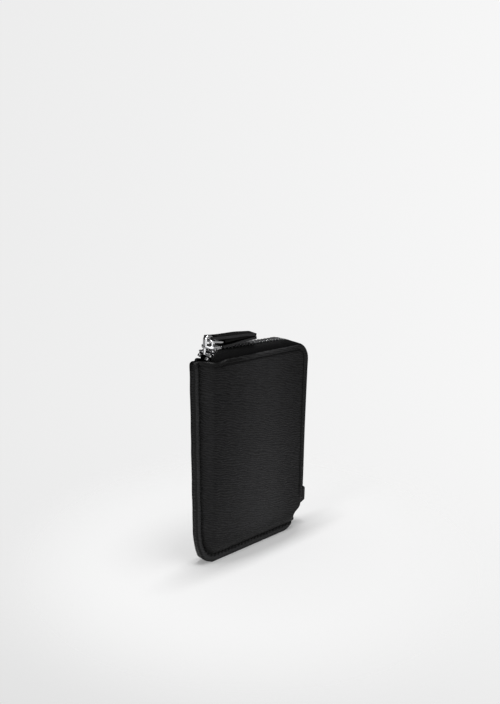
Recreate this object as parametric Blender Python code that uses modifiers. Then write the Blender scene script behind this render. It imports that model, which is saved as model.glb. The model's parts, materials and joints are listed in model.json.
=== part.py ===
"""A small leather zip wallet, standing on its sewn bottom edge.

Metres, +Z up, +X along the zip from its closed end, the front faces -Y. The origin is under the
middle of the whole wallet. Shapes are laid out in wallet measures, x from the sewn left edge and z
from the sewn bottom edge, and one empty carries them all to their place.
"""

import math

import bmesh
import bpy
from mathutils import Matrix, Vector

# Leather body: two panels sewn together along the left and bottom edges, open at the top and right.
PANEL_WIDTH = 0.0752
PANEL_HEIGHT = 0.1096
TOP_HALF = 0.0072
BOTTOM_HALF = 0.0058
SEAM_HALF = 0.0024
FOOT_SEAM_HALF = 0.0034
LEATHER = 0.0013
LEFT_EDGE_HALF = 0.0007
FOOT_HALF = 0.0032
EDGE_ROUND = 0.0020
RIM_ROUND = 0.0011
SEAM_MARGIN = 0.0036
GROOVE_WIDTH = 0.0012
GROOVE_DEPTH = 0.00035
PUFF_RAMP = 0.0060
TOP_RIGHT_RADIUS = 0.0076
BOTTOM_LEFT_RADIUS = 0.0124
BOTTOM_RIGHT_RADIUS = 0.0058
NOTCH_DEPTH = 0.0050
NOTCH_TOP = 0.0174
GAP = 0.0003

# Layers inside the body.
BOARD = 0.0006
LINING = 0.0004
LINING_START = 0.0054
LINING_EDGE_HALF = 0.0012
LINING_DROP = 0.0025
CORE_START = 0.0024
CORE_END = 0.0051
CORE_DROP = 0.0015
POCKET = 0.0005
POCKET_SIDE_INSET = 0.0100
LOWER_POCKET_HEIGHT = 0.0560
UPPER_POCKET_HEIGHT = 0.0720
SHEET_RADIUS = 0.0030

# Zip tape and its hem, which is sewn behind the rim of each panel.
TAPE = 0.0006
TAPE_HEM = 0.0060
TAPE_SHOULDER = 0.0009
TAPE_SAG = 0.00015
TAPE_LOW_POINT = 0.0005
TAPE_FOOT = 0.0174

# Zip chain. Heights are above the rim, widths are from the middle of the chain.
CHAIN_HEIGHT = 0.0043
CHAIN_SIDE_HEIGHT = 0.0025
CHAIN_SLOPE = math.radians(1.2)
BEND_RADIUS = 0.0240
BEND_TURN = math.radians(20)
BEND_RUN = 0.0080
CORNER_RADIUS = 0.0100
CHAIN_PHASE = 0.0007
TOOTH_PITCH = 0.00236
TOOTH_REACH = 0.0007
TOOTH_SHOULDER = 0.0013
TOOTH_OUTSIDE = 0.0030
TOOTH_HALF_HEIGHT = 0.0011
TOOTH_END_HALF_HEIGHT = 0.00075
TOOTH_HALF_THICKNESS = 0.00048
TIP_HALF_THICKNESS = 0.00030
CORD_MIDDLE = 0.0022
CORD_HALF_WIDTH = 0.0005
CORD_HALF_HEIGHT = 0.0005
CORD_SIDE_HALF_HEIGHT = 0.0004
CORD_TAIL = 0.0004
PART_SPREAD = 0.0022
PART_LENGTH = 0.0058
PART_ROLL = math.radians(12)
DIVE_START = 0.0027
DIVE_LENGTH = 0.0026
DIVE_ANGLE = math.radians(50)
ROW_END = 0.0074
STOP_LENGTH = 0.0015
STOP_HALF_HEIGHT = 0.0008
STOP_INSIDE = 0.0004
STOP_OUTSIDE = 0.0021
BOTTOM_STOP_LENGTH = 0.0024
BEVEL_SMALL = 0.0002

# Leather ear that covers the lower end of the tape.
EAR_BOTTOM = 0.0140
EAR_TOP = 0.0224
EAR_REACH = 0.0058
EAR_HALF = 0.0027
EAR_RADIUS = 0.0012
EAR_ROOT = 0.0124

# Slider, closed at the left end of the zip.
SLIDER_PLACE = 0.0136
SLIDER_FRONT = 0.0057
SLIDER_REAR = 0.0029
SLIDER_CROWN = 0.0004
SLIDER_LOWER_FRONT = 0.0031
SLIDER_HALF_WIDTH = 0.0046
SLIDER_PLATE = 0.0009
SLIDER_ROOM = 0.00025
SLIDER_BEVEL = 0.00025
MESH_POINT = 0.0006
LIP_WALL = 0.0008
LIP_INSET = 0.00015
LIP_START = 0.0004
LIP_REAR_INSET = 0.0003
TAPE_SLOT_HALF = 0.0007
DIAMOND_FRONT = 0.0055
DIAMOND_BACK = 0.0029
DIAMOND_HALF_WIDTH = 0.00085
BRIDGE_HALF_WIDTH = 0.0014
BRIDGE_FRONT = 0.0054
BRIDGE_BACK = 0.0008
BRIDGE_HEIGHT = 0.0056
BRIDGE_STRIP = 0.0014
OVERRUN = 0.0004

# Puller: a wire ring through the bridge, and two leather layers sewn round its outer bar.
RING_WIRE = 0.0006
RING_LENGTH = 0.0073
RING_HALF_WIDTH = 0.0034
RING_CORNER = 0.0012
RING_RISE = 0.00275
RING_PLAY = 0.0004
RING_TILT = math.radians(9)
PULL_YAW = math.radians(-6)
TAB_LEATHER = 0.0012
TAB_HALF_WIDTH = 0.0043
TAB_LENGTH = 0.0278
TAB_OVERHANG = 0.0004
TAB_SLOT_HALF = 0.0022
TAB_SLOT_LENGTH = 0.0049
TAB_DROOP = 0.0010
TAB_END_ROUND = 0.0010
UNDER_START = 0.0066

# Shares, chosen by hand, of the sizes that they follow.
EDGE_SHARES = (0.0, 0.12, 0.45, 1.0)
RAMP_SHARES = (0.25, 0.55, 1.0)
CORNER_SHARES = (0.3, 1.0)
LINING_CORNER_SHARES = (0.0, 0.5, 0.85, 1.0)
FRONT_PLATE_SHARES = ((1.0, 0.14), (0.9, 0.42), (0.74, 0.76), (0.55, 0.96), (0.35, 1.0))
REAR_PLATE_SHARES = ((0.30, 0.98), (0.75, 0.91), (0.95, 0.84), (1.0, 0.70))
DIAMOND_SHARES = ((0.0, 0.5), (0.2, 1.0), (0.5, 0.7), (1.0, 0.18))
BRIDGE_OUTER_SHARES = ((0.0, 0.62), (0.05, 0.84), (0.18, 0.97), (0.38, 1.0), (0.72, 0.97), (0.93, 0.82), (1.0, 0.55))
DROOP_SHARES = ((0.0, 0.0), (0.2, 0.3), (0.45, 0.36), (0.7, 0.4), (0.9, 0.72), (1.0, 1.0))
UNDER_RISE_SHARES = ((0.0, 0.0), (0.18, 0.12), (0.42, 0.42), (0.65, 0.66), (0.85, 0.86), (1.0, 1.0))
PART_TURN_SHARE = 0.4
RIM_SHARE = 0.8
TAPE_FALL_SHARE = 1.0
TAPER_SHARE = 0.026
CORNER_STEPS = 6
MIDDLE_COLUMNS = 3
MIDDLE_ROWS = 4
WIRE_SIDES = 2

CHAIN_HALF_ROOM = TOOTH_HALF_HEIGHT + SLIDER_ROOM
CHAIN_LEVEL = PANEL_HEIGHT + CHAIN_HEIGHT
CHAIN_SIDE = PANEL_WIDTH + CHAIN_SIDE_HEIGHT
CHAIN_FOOT = EAR_TOP + BOTTOM_STOP_LENGTH + 3 * GAP
EAR_END = PANEL_WIDTH + EAR_REACH
MIDDLE_X = EAR_END * (1 - TAPER_SHARE * (1 - EAR_TOP / PANEL_HEIGHT)) / 2
MESH_X = SLIDER_PLACE + MESH_POINT
BEND_ARC = BEND_RADIUS * (BEND_TURN - CHAIN_SLOPE)
CORNER_ARC = CORNER_RADIUS * (math.pi / 2 - BEND_TURN)
BEND_WIDTH = BEND_RADIUS * (math.sin(BEND_TURN) - math.sin(CHAIN_SLOPE)) + BEND_RUN * math.cos(BEND_TURN)
BEND_FALL = BEND_RADIUS * (math.cos(CHAIN_SLOPE) - math.cos(BEND_TURN)) + BEND_RUN * math.sin(BEND_TURN)
CORNER_WIDTH = CORNER_RADIUS * (1 - math.sin(BEND_TURN))
TOP_RUN = (CHAIN_SIDE - MESH_X - BEND_WIDTH - CORNER_WIDTH) / math.cos(CHAIN_SLOPE)
TURN_Z = CHAIN_LEVEL - TOP_RUN * math.sin(CHAIN_SLOPE) - BEND_FALL - CORNER_RADIUS * math.cos(BEND_TURN)
ARC_RUN = BEND_ARC + BEND_RUN + CORNER_ARC
CHAIN_RUN = TOP_RUN + ARC_RUN + TURN_Z - CHAIN_FOOT
TAPE_RUN = TOP_RUN + ARC_RUN + TURN_Z - TAPE_FOOT
CHAIN_LEGS = ((TOP_RUN, 0), (BEND_ARC, 1 / BEND_RADIUS), (BEND_RUN, 0), (CORNER_ARC, 1 / CORNER_RADIUS), (TURN_Z, 0))
DIVE_LEGS = ((DIVE_START, 0), (DIVE_LENGTH, DIVE_ANGLE / DIVE_LENGTH), (ROW_END, 0))
PLATE_TOP = CHAIN_LEVEL + CHAIN_HALF_ROOM + SLIDER_PLATE
HINGE_X = SLIDER_PLACE - BRIDGE_FRONT + BRIDGE_STRIP + RING_PLAY + RING_WIRE
HINGE_Z = PLATE_TOP + RING_RISE
FRONT, BACK = -1, 1


def clear_scene():
    for existing in list(bpy.data.objects):
        bpy.data.objects.remove(existing, do_unlink=True)


def make_collection(name):
    made = bpy.data.collections.new(name)
    bpy.context.scene.collection.children.link(made)
    return made


def make_material(name, colour, roughness, metallic=0.0):
    made = bpy.data.materials.new(name)
    made.use_nodes = True
    shader = made.node_tree.nodes["Principled BSDF"]
    shader.inputs["Base Color"].default_value = (*colour, 1.0)
    shader.inputs["Roughness"].default_value = roughness
    shader.inputs["Metallic"].default_value = metallic
    return made


def add_part(name, mesh, material, home, round_piece=False):
    """Makes a node of a mesh; what is part of the body also tapers towards the foot."""
    mesh.name = name
    if home is wallet:
        for vertex in mesh.vertices:
            drop = min(max(1 - vertex.co.z / PANEL_HEIGHT, 0.0), 1.0)
            vertex.co.x *= 1 - TAPER_SHARE * drop
    mesh.materials.clear()
    mesh.materials.append(material)
    part = bpy.data.objects.new(name, mesh)
    parts.objects.link(part)
    part.parent = home
    if round_piece:
        mesh.shade_smooth()
        mesh.set_sharp_from_angle(angle=math.radians(40))
    return part


def add_empty(name, home, location, yaw=0.0):
    empty = bpy.data.objects.new(name, None)
    parts.objects.link(empty)
    empty.parent = home
    empty.location = location
    empty.rotation_euler.z = yaw
    return empty


def add_cutter(name, mesh, home):
    """A shape that a Boolean joins to a part: the render leaves it out."""
    tool = bpy.data.objects.new(name, mesh)
    cutters.objects.link(tool)
    tool.parent = home
    tool.hide_render = True
    tool.display_type = "WIRE"
    return tool


def solidify(part, thickness, offset):
    wall = part.modifiers.new("wall", "SOLIDIFY")
    wall.thickness = thickness
    wall.offset = offset
    wall.use_even_offset = False


def round_edges(part, width, segments=1, angle=math.radians(40)):
    bevel = part.modifiers.new("round", "BEVEL")
    bevel.width = width
    bevel.segments = segments
    bevel.limit_method = "ANGLE"
    bevel.angle_limit = angle


def join(part, tool):
    union = part.modifiers.new(tool.name, "BOOLEAN")
    union.operation = "UNION"
    union.object = tool


def grid_mesh(columns, rows, place, flip=False):
    """A grid of columns x rows points, each moved to place(column, row)."""
    grid = bmesh.new()
    bmesh.ops.create_grid(grid, x_segments=columns - 1, y_segments=rows - 1, size=1.0)
    for vertex in grid.verts:
        column = round((vertex.co.x + 1) / 2 * (columns - 1))
        row = round((vertex.co.y + 1) / 2 * (rows - 1))
        vertex.co = place(column, row)
    if flip:
        bmesh.ops.reverse_faces(grid, faces=grid.faces)
    mesh = bpy.data.meshes.new("grid")
    grid.to_mesh(mesh)
    grid.free()
    return mesh


def slab_mesh(columns, rows, place):
    """A closed slab of columns x rows points on each face, moved to place(column, row, face)."""
    slab = bmesh.new()
    bmesh.ops.create_grid(slab, x_segments=columns - 1, y_segments=rows - 1, size=1.0)
    bmesh.ops.solidify(slab, geom=slab.faces[:], thickness=1.0)
    for vertex in slab.verts:
        column = round((vertex.co.x + 1) / 2 * (columns - 1))
        row = round((vertex.co.y + 1) / 2 * (rows - 1))
        vertex.co = place(column, row, round(abs(vertex.co.z)))
    bmesh.ops.recalc_face_normals(slab, faces=slab.faces)
    if slab.calc_volume(signed=True) < 0:
        bmesh.ops.reverse_faces(slab, faces=slab.faces)
    mesh = bpy.data.meshes.new("slab")
    slab.to_mesh(mesh)
    slab.free()
    return mesh


def box_mesh(low, high):
    box = bmesh.new()
    bmesh.ops.create_cube(box, size=1.0)
    low, high = Vector(low), Vector(high)
    for vertex in box.verts:
        vertex.co = [a + (b - a) * (share + 0.5) for a, b, share in zip(low, high, vertex.co)]
    mesh = bpy.data.meshes.new("box")
    box.to_mesh(mesh)
    box.free()
    return mesh


def mesh_of_curve(curve):
    """The mesh of a curve object, with its loose caps welded."""
    holder = bpy.data.objects.new("curve", curve)
    bpy.context.scene.collection.objects.link(holder)
    graph = bpy.context.evaluated_depsgraph_get()
    mesh = bpy.data.meshes.new_from_object(holder.evaluated_get(graph))
    welded = bmesh.new()
    welded.from_mesh(mesh)
    bmesh.ops.remove_doubles(welded, verts=welded.verts, dist=BEVEL_SMALL / 100)
    welded.to_mesh(mesh)
    welded.free()
    bpy.data.objects.remove(holder, do_unlink=True)
    return mesh


def plate_mesh(outline, low, high, turn=Matrix()):
    """A flat outline in the XY plane, filled and extruded from low to high in Z, then turned."""
    curve = bpy.data.curves.new("outline", "CURVE")
    curve.dimensions = "2D"
    curve.fill_mode = "BOTH"
    curve.extrude = (high - low) / 2
    spline = curve.splines.new("POLY")
    spline.points.add(len(outline) - 1)
    for point, (x, y) in zip(spline.points, outline):
        point.co = (x, y, 0.0, 1.0)
    spline.use_cyclic_u = True
    mesh = mesh_of_curve(curve)
    mesh.transform(turn @ Matrix.Translation((0.0, 0.0, (low + high) / 2)))
    return mesh


UPRIGHT = Matrix.Rotation(math.pi / 2, 4, "X")


def upright_mesh(outline, near, far):
    """A flat outline in the XZ plane, extruded from near to far in Y."""
    return plate_mesh(outline, -far, -near, UPRIGHT)


def arc(centre_x, centre_z, radius, start, end, steps=CORNER_STEPS):
    """Points along an arc, its angles counted from +X towards +Z."""
    angles = [start + (end - start) * step / steps for step in range(steps + 1)]
    return [(centre_x + radius * math.cos(a), centre_z + radius * math.sin(a)) for a in angles]


def rounded_outline(left, right, bottom, top, radius):
    half, full = math.pi / 2, math.pi
    return (
        arc(right - radius, top - radius, radius, 0.0, half)
        + arc(left + radius, top - radius, radius, half, full)
        + arc(left + radius, bottom + radius, radius, full, full + half)
        + arc(right - radius, bottom + radius, radius, full + half, 2 * full)
    )


def along_shares(share, table):
    """The value that a table of (place, value) shares has at this place."""
    for (before, low), (after, high) in zip(table, table[1:]):
        if share <= after:
            return low + (high - low) * max(share - before, 0.0) / (after - before)
    return table[-1][1]


def ease_out(share):
    share = min(max(share, 0.0), 1.0)
    return 1 - (1 - share) ** 2


def ease_both(share):
    share = min(max(share, 0.0), 1.0)
    return share * share * (3 - 2 * share)


def quarter_round(inset, radius):
    """How high a rounded edge stands at this inset, as a share of its radius."""
    share = min(max(inset / radius, 0.0), 1.0)
    return math.sqrt(1 - (1 - share) ** 2)


def body_half(z):
    """Half the thickness of the filled body at this height."""
    return BOTTOM_HALF + (TOP_HALF - BOTTOM_HALF) * z / PANEL_HEIGHT


def corner_inset(radius, distance):
    """How far a round corner has drawn in, this far past its start."""
    share = min(max(distance / radius, 0.0), 1.0)
    return radius * (1 - math.sqrt(1 - share**2))


def left_side(z):
    """Left end of the panel at this height."""
    return corner_inset(BOTTOM_LEFT_RADIUS, BOTTOM_LEFT_RADIUS - z)


def right_side(z):
    """Right end of the panel at this height, with the notch below the zip's end."""
    low, high = BOTTOM_RIGHT_RADIUS, TOP_RIGHT_RADIUS
    notch = NOTCH_DEPTH * (1 - ease_both((z - low) / (NOTCH_TOP - low)))
    corners = corner_inset(low, low - z) + corner_inset(high, z - PANEL_HEIGHT + high)
    return PANEL_WIDTH - notch - corners


def sewn_inset(x, z):
    """Distance in from the sewn edges, left and bottom, with their round corner."""
    corner = BOTTOM_LEFT_RADIUS
    if x < corner and z < corner:
        return corner - math.hypot(corner - x, corner - z)
    return min(x, z)


def foot_share(x, z):
    """How far round from the left edge, 0, to the bottom edge, 1, a point lies."""
    across = max(BOTTOM_LEFT_RADIUS - x, 0.0)
    down = max(BOTTOM_LEFT_RADIUS - z, 0.0)
    if down == 0:
        return 0.0
    return math.atan2(down, across) / (math.pi / 2)


def open_inset(x, z):
    """Distance in from the open edges, top and right, with their round corner."""
    corner = TOP_RIGHT_RADIUS
    across = x - (PANEL_WIDTH - corner)
    up = z - (PANEL_HEIGHT - corner)
    if across > 0 and up > 0:
        return corner - math.hypot(across, up)
    return min(right_side(z) - x, PANEL_HEIGHT - z)


def seam_half(x, z):
    """Half thickness of the leather beside the seam: the foot is thicker, so that the wallet stands."""
    return SEAM_HALF + (FOOT_SEAM_HALF - SEAM_HALF) * foot_share(x, z)


def filled_half(x, z, edge=None, start=SEAM_MARGIN + GROOVE_WIDTH / 2, less=0.0):
    """Half thickness where a layer swells from its sewn edge to the filled body, less an offset."""
    if edge is None:
        edge = seam_half(x, z)
    swell = ease_out((sewn_inset(x, z) - start) / PUFF_RAMP)
    return edge + (body_half(z) - less - edge) * swell


def half_below(x, z, depth):
    """Half thickness at this depth under the leather's outer face, square to its slope."""
    step = GROOVE_WIDTH / 8
    here = filled_half(x, z)
    slope_x = (filled_half(x + step, z) - here) / step
    slope_z = (filled_half(x, z + step) - here) / step
    return here - depth * math.sqrt(1 + slope_x**2 + slope_z**2)


def panel_half(x, z):
    """Half thickness of the leather's outer face, with its rounded edges and stitch groove."""
    sewn = sewn_inset(x, z)
    half = filled_half(x, z)
    if sewn < EDGE_ROUND:
        edge = LEFT_EDGE_HALF + (FOOT_HALF - LEFT_EDGE_HALF) * foot_share(x, z)
        half = edge + (seam_half(x, z) - edge) * quarter_round(sewn, EDGE_ROUND)
    if abs(sewn - SEAM_MARGIN) < GROOVE_WIDTH / 4:
        half -= GROOVE_DEPTH
    rim = min(RIM_ROUND, RIM_SHARE * (half - panel_inner_half(x, z)))
    return half - rim * (1 - quarter_round(open_inset(x, z), RIM_ROUND))


def panel_inner_half(x, z):
    """Half thickness of the leather's inner face: the two panels nearly meet at the sewn edges."""
    share = min(sewn_inset(x, z) / EDGE_ROUND, 1.0)
    lowest = seam_half(x, z) - LEATHER
    if share < 1:
        return GAP / 2 + (lowest - GAP / 2) * max(2 * share - 1, 0.0)
    return max(lowest, half_below(x, z, LEATHER))


def sewn_stations():
    groove = (SEAM_MARGIN - GROOVE_WIDTH / 2, SEAM_MARGIN, SEAM_MARGIN + GROOVE_WIDTH / 2)
    edge = [share * EDGE_ROUND for share in EDGE_SHARES]
    return edge + list(groove) + [groove[-1] + share * PUFF_RAMP for share in RAMP_SHARES]


def open_stations():
    """Insets from the open edges, outermost last."""
    inner = [share * TOP_RIGHT_RADIUS for share in reversed(CORNER_SHARES)]
    return inner + [share * RIM_ROUND for share in reversed(EDGE_SHARES)]


def between(low, high, count):
    return [low + (high - low) * (step + 1) / (count + 1) for step in range(count)]


def panel_mesh(side):
    near, far = sewn_stations(), open_stations()
    top = [PANEL_HEIGHT - inset for inset in far]
    heights = near + between(near[-1], top[0], MIDDLE_ROWS) + top

    def row_places(z):
        left, right = left_side(z), right_side(z)
        start = [left + inset for inset in near]
        end = [right - inset for inset in far]
        return start + between(start[-1], end[0], MIDDLE_COLUMNS) + end

    table = [row_places(z) for z in heights]

    def place(column, row, face):
        x, z = table[row][column], heights[row]
        half = panel_inner_half(x, z) if face else panel_half(x, z)
        return (x, side * half, z)

    return slab_mesh(len(table[0]), len(heights), place)


def add_panel(name, side):
    add_part(name, panel_mesh(side), black_leather, wallet, round_piece=True)


def add_lining(name, side):
    """Thin cloth that follows the inside of a panel and ends below its rim."""
    less = LEATHER + BOARD + 2 * GAP + GAP
    ramp = [LINING_START + share * PUFF_RAMP for share in (0.0, *RAMP_SHARES)]
    top, right = PANEL_HEIGHT - LINING_DROP, PANEL_WIDTH - LINING_DROP
    turn = TOP_RIGHT_RADIUS - LINING_DROP
    heights = ramp + between(ramp[-1], top - turn, 2) + [top - turn * (1 - s) for s in LINING_CORNER_SHARES]
    count = len(ramp) + 2

    def row_places(z):
        start = corner_inset(BOTTOM_LEFT_RADIUS - LINING_START, BOTTOM_LEFT_RADIUS - z)
        left = [start + place for place in ramp]
        end = min(right - corner_inset(turn, z - top + turn), right_side(z) - LINING_DROP)
        return left + between(left[-1], end, 1) + [end]

    def place(column, row):
        z = heights[row]
        x = row_places(z)[column]
        return (x, side * filled_half(x, z, LINING_EDGE_HALF, LINING_START, less), z)

    mesh = grid_mesh(count, len(heights), place, flip=side == BACK)
    lining = add_part(name, mesh, lining_cloth, wallet, round_piece=True)
    solidify(lining, LINING, -1.0)


def lean(mesh, side):
    """Moves a flat sheet out to the slightly tapered wall of the body."""
    for vertex in mesh.vertices:
        vertex.co.y += side * body_half(vertex.co.z)


def add_sheet(name, side, depth, thickness, box, material, radius=SHEET_RADIUS):
    """A rounded flat sheet parallel to the panel, its outer face this deep below the leather's."""
    near, far = sorted((-side * depth, -side * (depth + thickness)))
    mesh = upright_mesh(rounded_outline(*box, radius), near, far)
    lean(mesh, side)
    return add_part(name, mesh, material, wallet)


def add_board(name, side):
    start = SEAM_MARGIN + GROOVE_WIDTH / 2 + PUFF_RAMP + GAP
    end = TAPE_HEM + 2 * GAP
    box = (start, PANEL_WIDTH - end, start, PANEL_HEIGHT - end)
    add_sheet(name, side, LEATHER + GAP, BOARD, box, grey_board, TOP_RIGHT_RADIUS - end)


def add_pocket(name, layer, height):
    """A card pocket: a sheet sewn to the back lining at its sides and bottom."""
    start = LINING_START + PUFF_RAMP + GAP
    depth = LEATHER + BOARD + LINING + 4 * GAP + layer * (POCKET + GAP)
    box = (start, PANEL_WIDTH - POCKET_SIDE_INSET, start, start + height)
    add_sheet(name, BACK, depth, POCKET, box, lining_cloth)


def add_seam_core():
    """The filler between the two panels along the sewn edges, an L with a round corner."""
    half = SEAM_HALF - LEATHER - 2 * GAP
    top = PANEL_HEIGHT - CORE_DROP
    corner = BOTTOM_LEFT_RADIUS
    right = PANEL_WIDTH - NOTCH_DEPTH - BOTTOM_RIGHT_RADIUS
    outer = arc(corner, corner, corner - CORE_START, math.pi, 1.5 * math.pi)
    inner = arc(corner, corner, corner - CORE_END, 1.5 * math.pi, math.pi)
    outline = [(CORE_START, top)] + outer + [(right, CORE_START), (right, CORE_END)] + inner + [(CORE_END, top)]
    mesh = upright_mesh(outline, -half, half)
    for vertex in mesh.vertices:
        vertex.co.y *= 1 + (seam_half(vertex.co.x, vertex.co.z) - SEAM_HALF) / half
    add_part("seam_core", mesh, grey_board, wallet)


def chain_place(run):
    """Middle of the chain in the XZ plane at this run, and its outward direction.

    The run is 0 where the slider has closed the teeth, grows along the closed chain, and is below
    0 where the two rows part and dive into the left end of the wallet.
    """
    way = 1 if run > 0 else -1
    left, turn = abs(run), CHAIN_SLOPE
    x, z = MESH_X, CHAIN_LEVEL
    for length, bend in CHAIN_LEGS if run > 0 else DIVE_LEGS:
        step = min(left, length)
        end = turn + way * bend * step
        if bend:
            x += (math.sin(end) - math.sin(turn)) / bend
            z += (math.cos(end) - math.cos(turn)) / bend
        else:
            x += way * step * math.cos(turn)
            z -= way * step * math.sin(turn)
        left -= step
        turn = end
    return Vector((x, 0.0, z)), Vector((math.sin(turn), 0.0, math.cos(turn)))


def part_offset(run):
    """How far each row has moved out from the middle at this run."""
    return PART_SPREAD * ease_both(-run / PART_LENGTH)


def row_frame(run, side):
    """Place of one row at this run, with its along, across (away from the middle) and out axes."""
    step = TOOTH_PITCH / 20
    place = chain_place(run)[0] + Vector((0.0, side * part_offset(run), 0.0))
    along = chain_place(run + step)[0] - chain_place(run - step)[0]
    along.y = side * (part_offset(run + step) - part_offset(run - step)) * PART_TURN_SHARE
    along.normalize()
    out = chain_place(run)[1]
    out = (out - along * out.dot(along)).normalized()
    across = out.cross(along)
    if across.y * side < 0:
        across = -across
    roll = PART_ROLL * part_offset(run) / PART_SPREAD
    tipped = across * math.cos(roll) - out * math.sin(roll)
    return place, along, tipped, out * math.cos(roll) + across * math.sin(roll)


def section_points(run, side, section):
    """Points of a section, each (across, out, along), placed on one row at this run."""
    place, along, across, out = row_frame(run, side)
    return [place + across * a + out * o + along * s for a, o, s in section]


def tooth_section(end):
    tall, short = TOOTH_HALF_HEIGHT, TOOTH_END_HALF_HEIGHT
    thick, thin = end * TOOTH_HALF_THICKNESS, end * TIP_HALF_THICKNESS
    return [
        (TOOTH_OUTSIDE, short, thick),
        (TOOTH_SHOULDER, tall, thick),
        (-TOOTH_REACH, short, thin),
        (-TOOTH_REACH, -short, thin),
        (TOOTH_SHOULDER, -tall, thick),
        (TOOTH_OUTSIDE, -short, thick),
    ]


def cord_section(shift):
    wide, tall, short = CORD_HALF_WIDTH, CORD_HALF_HEIGHT, CORD_SIDE_HALF_HEIGHT
    return [
        (CORD_MIDDLE + wide, short, shift),
        (CORD_MIDDLE, tall, shift),
        (CORD_MIDDLE - wide, short, shift),
        (CORD_MIDDLE - wide, -short, shift),
        (CORD_MIDDLE, -tall, shift),
        (CORD_MIDDLE + wide, -short, shift),
    ]


def loft_mesh(rings):
    """A closed solid through rings of as many points each."""
    loft = bmesh.new()
    rows = [[loft.verts.new(point) for point in ring] for ring in rings]
    count = len(rows[0])
    for here, there in zip(rows, rows[1:]):
        for index in range(count):
            after = (index + 1) % count
            loft.faces.new((here[index], here[after], there[after], there[index]))
    loft.faces.new(rows[0])
    loft.faces.new(rows[-1])
    bmesh.ops.recalc_face_normals(loft, faces=loft.faces)
    mesh = bpy.data.meshes.new("loft")
    loft.to_mesh(mesh)
    loft.free()
    return mesh


def tooth_runs(side):
    """Runs of the middles of one row's teeth: the two rows stand half a pitch apart."""
    shift = CHAIN_PHASE + (TOOTH_PITCH / 2 if side == BACK else 0.0)
    first = -math.floor((ROW_END - TOOTH_HALF_THICKNESS - CORD_TAIL + shift) / TOOTH_PITCH)
    last = math.floor((CHAIN_RUN - TOOTH_HALF_THICKNESS - CORD_TAIL - shift) / TOOTH_PITCH)
    return [index * TOOTH_PITCH + shift for index in range(first, last + 1)]


def add_teeth(name, side):
    """One row of teeth, all clamped on the cord at the edge of its tape."""
    rings = []
    for run in tooth_runs(side):
        face = TOOTH_HALF_THICKNESS
        rings.append(section_points(run, side, cord_section(-face)))
        rings.append(section_points(run, side, tooth_section(-1)))
        rings.append(section_points(run, side, tooth_section(1)))
        rings.append(section_points(run, side, cord_section(face)))
    tail = TOOTH_HALF_THICKNESS + CORD_TAIL
    rings.insert(0, section_points(tooth_runs(side)[0], side, cord_section(-tail)))
    rings.append(section_points(tooth_runs(side)[-1], side, cord_section(tail)))
    add_part(name, loft_mesh(rings), zip_metal, wallet)


def tape_runs(side):
    """Stations of the tape: close together where it bends, far apart where it is straight."""
    start = tooth_runs(side)[0]
    dive = between(start, 0.0, 5)
    top = [0.0] + between(0.0, TOP_RUN, 2)
    steps = 2 * CORNER_STEPS
    corner = [TOP_RUN + ARC_RUN * step / steps for step in range(steps + 1)]
    down = between(TOP_RUN + ARC_RUN, TAPE_RUN, 3) + [TAPE_RUN]
    return [start] + dive + top + corner + down


def height_above_rim(place, outward):
    """How far out from the panels' open edge a place in the XZ plane lies."""
    low, high = -2 * CHAIN_HEIGHT, 2 * CHAIN_HEIGHT
    for _ in range(30):
        middle = (low + high) / 2
        point = place - outward * middle
        if open_inset(point.x, point.z) > 0:
            high = middle
        else:
            low = middle
    return low


def add_tape(name, side):
    """Woven tape from the cord out to the panel, then down behind the panel's rim."""
    runs = tape_runs(side)
    root = (TOOTH_OUTSIDE + GAP + TAPE, 0.0, 0.0)

    def place(column, row):
        run = runs[column]
        edge = section_points(run, side, [root])[0]
        outward = chain_place(run)[1] if run > 0 else Vector((0.0, 0.0, 1.0))
        flat = Vector((edge.x, 0.0, edge.z))
        if run < 0:
            flat.z = max(flat.z, PANEL_HEIGHT + GAP)
        height = height_above_rim(flat, outward)
        rim = flat - outward * height
        hem = rim - outward * TAPE_HEM
        depth = LEATHER + 2 * GAP + TAPE / 2
        wall = half_below(rim.x, rim.z, depth)
        start = abs(edge.y)
        middle = height - TAPE_SAG - TAPE_FALL_SHARE * max(start - wall, 0.0)
        high = middle - TAPE_SHOULDER * max(height, 0.0) / CHAIN_HEIGHT
        points = (
            (flat, start),
            (rim + outward * middle, start + (wall - start) / 2),
            (rim + outward * high, wall),
            (rim + outward * min(high - TAPE_LOW_POINT, 0.0), wall),
            (hem, half_below(hem.x, hem.z, depth)),
        )
        centre, half = points[row]
        return centre + Vector((0.0, side * half, 0.0))

    mesh = grid_mesh(len(runs), 5, place)
    tape = add_part(name, mesh, black_tape, wallet, round_piece=True)
    solidify(tape, TAPE, 0.0)


def framed_box(run, side, low, high):
    """A box with corners (across, out, along), set on one row at this run."""
    mesh = box_mesh(low, high)
    place, along, across, out = row_frame(run, side)
    for vertex in mesh.vertices:
        a, o, s = vertex.co
        vertex.co = place + across * a + out * o + along * s
    solid = bmesh.new()
    solid.from_mesh(mesh)
    bmesh.ops.recalc_face_normals(solid, faces=solid.faces)
    solid.to_mesh(mesh)
    solid.free()
    return mesh


def add_top_stop(name, side):
    """The clip at the upper end of one row, which keeps the slider on."""
    end = tooth_runs(side)[0] - TOOTH_HALF_THICKNESS - CORD_TAIL - GAP - STOP_LENGTH / 2
    low = (STOP_INSIDE, -STOP_HALF_HEIGHT, -STOP_LENGTH / 2)
    high = (STOP_OUTSIDE, STOP_HALF_HEIGHT, STOP_LENGTH / 2)
    stop = add_part(name, framed_box(end, side, low, high), zip_metal, wallet)
    round_edges(stop, BEVEL_SMALL)


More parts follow.
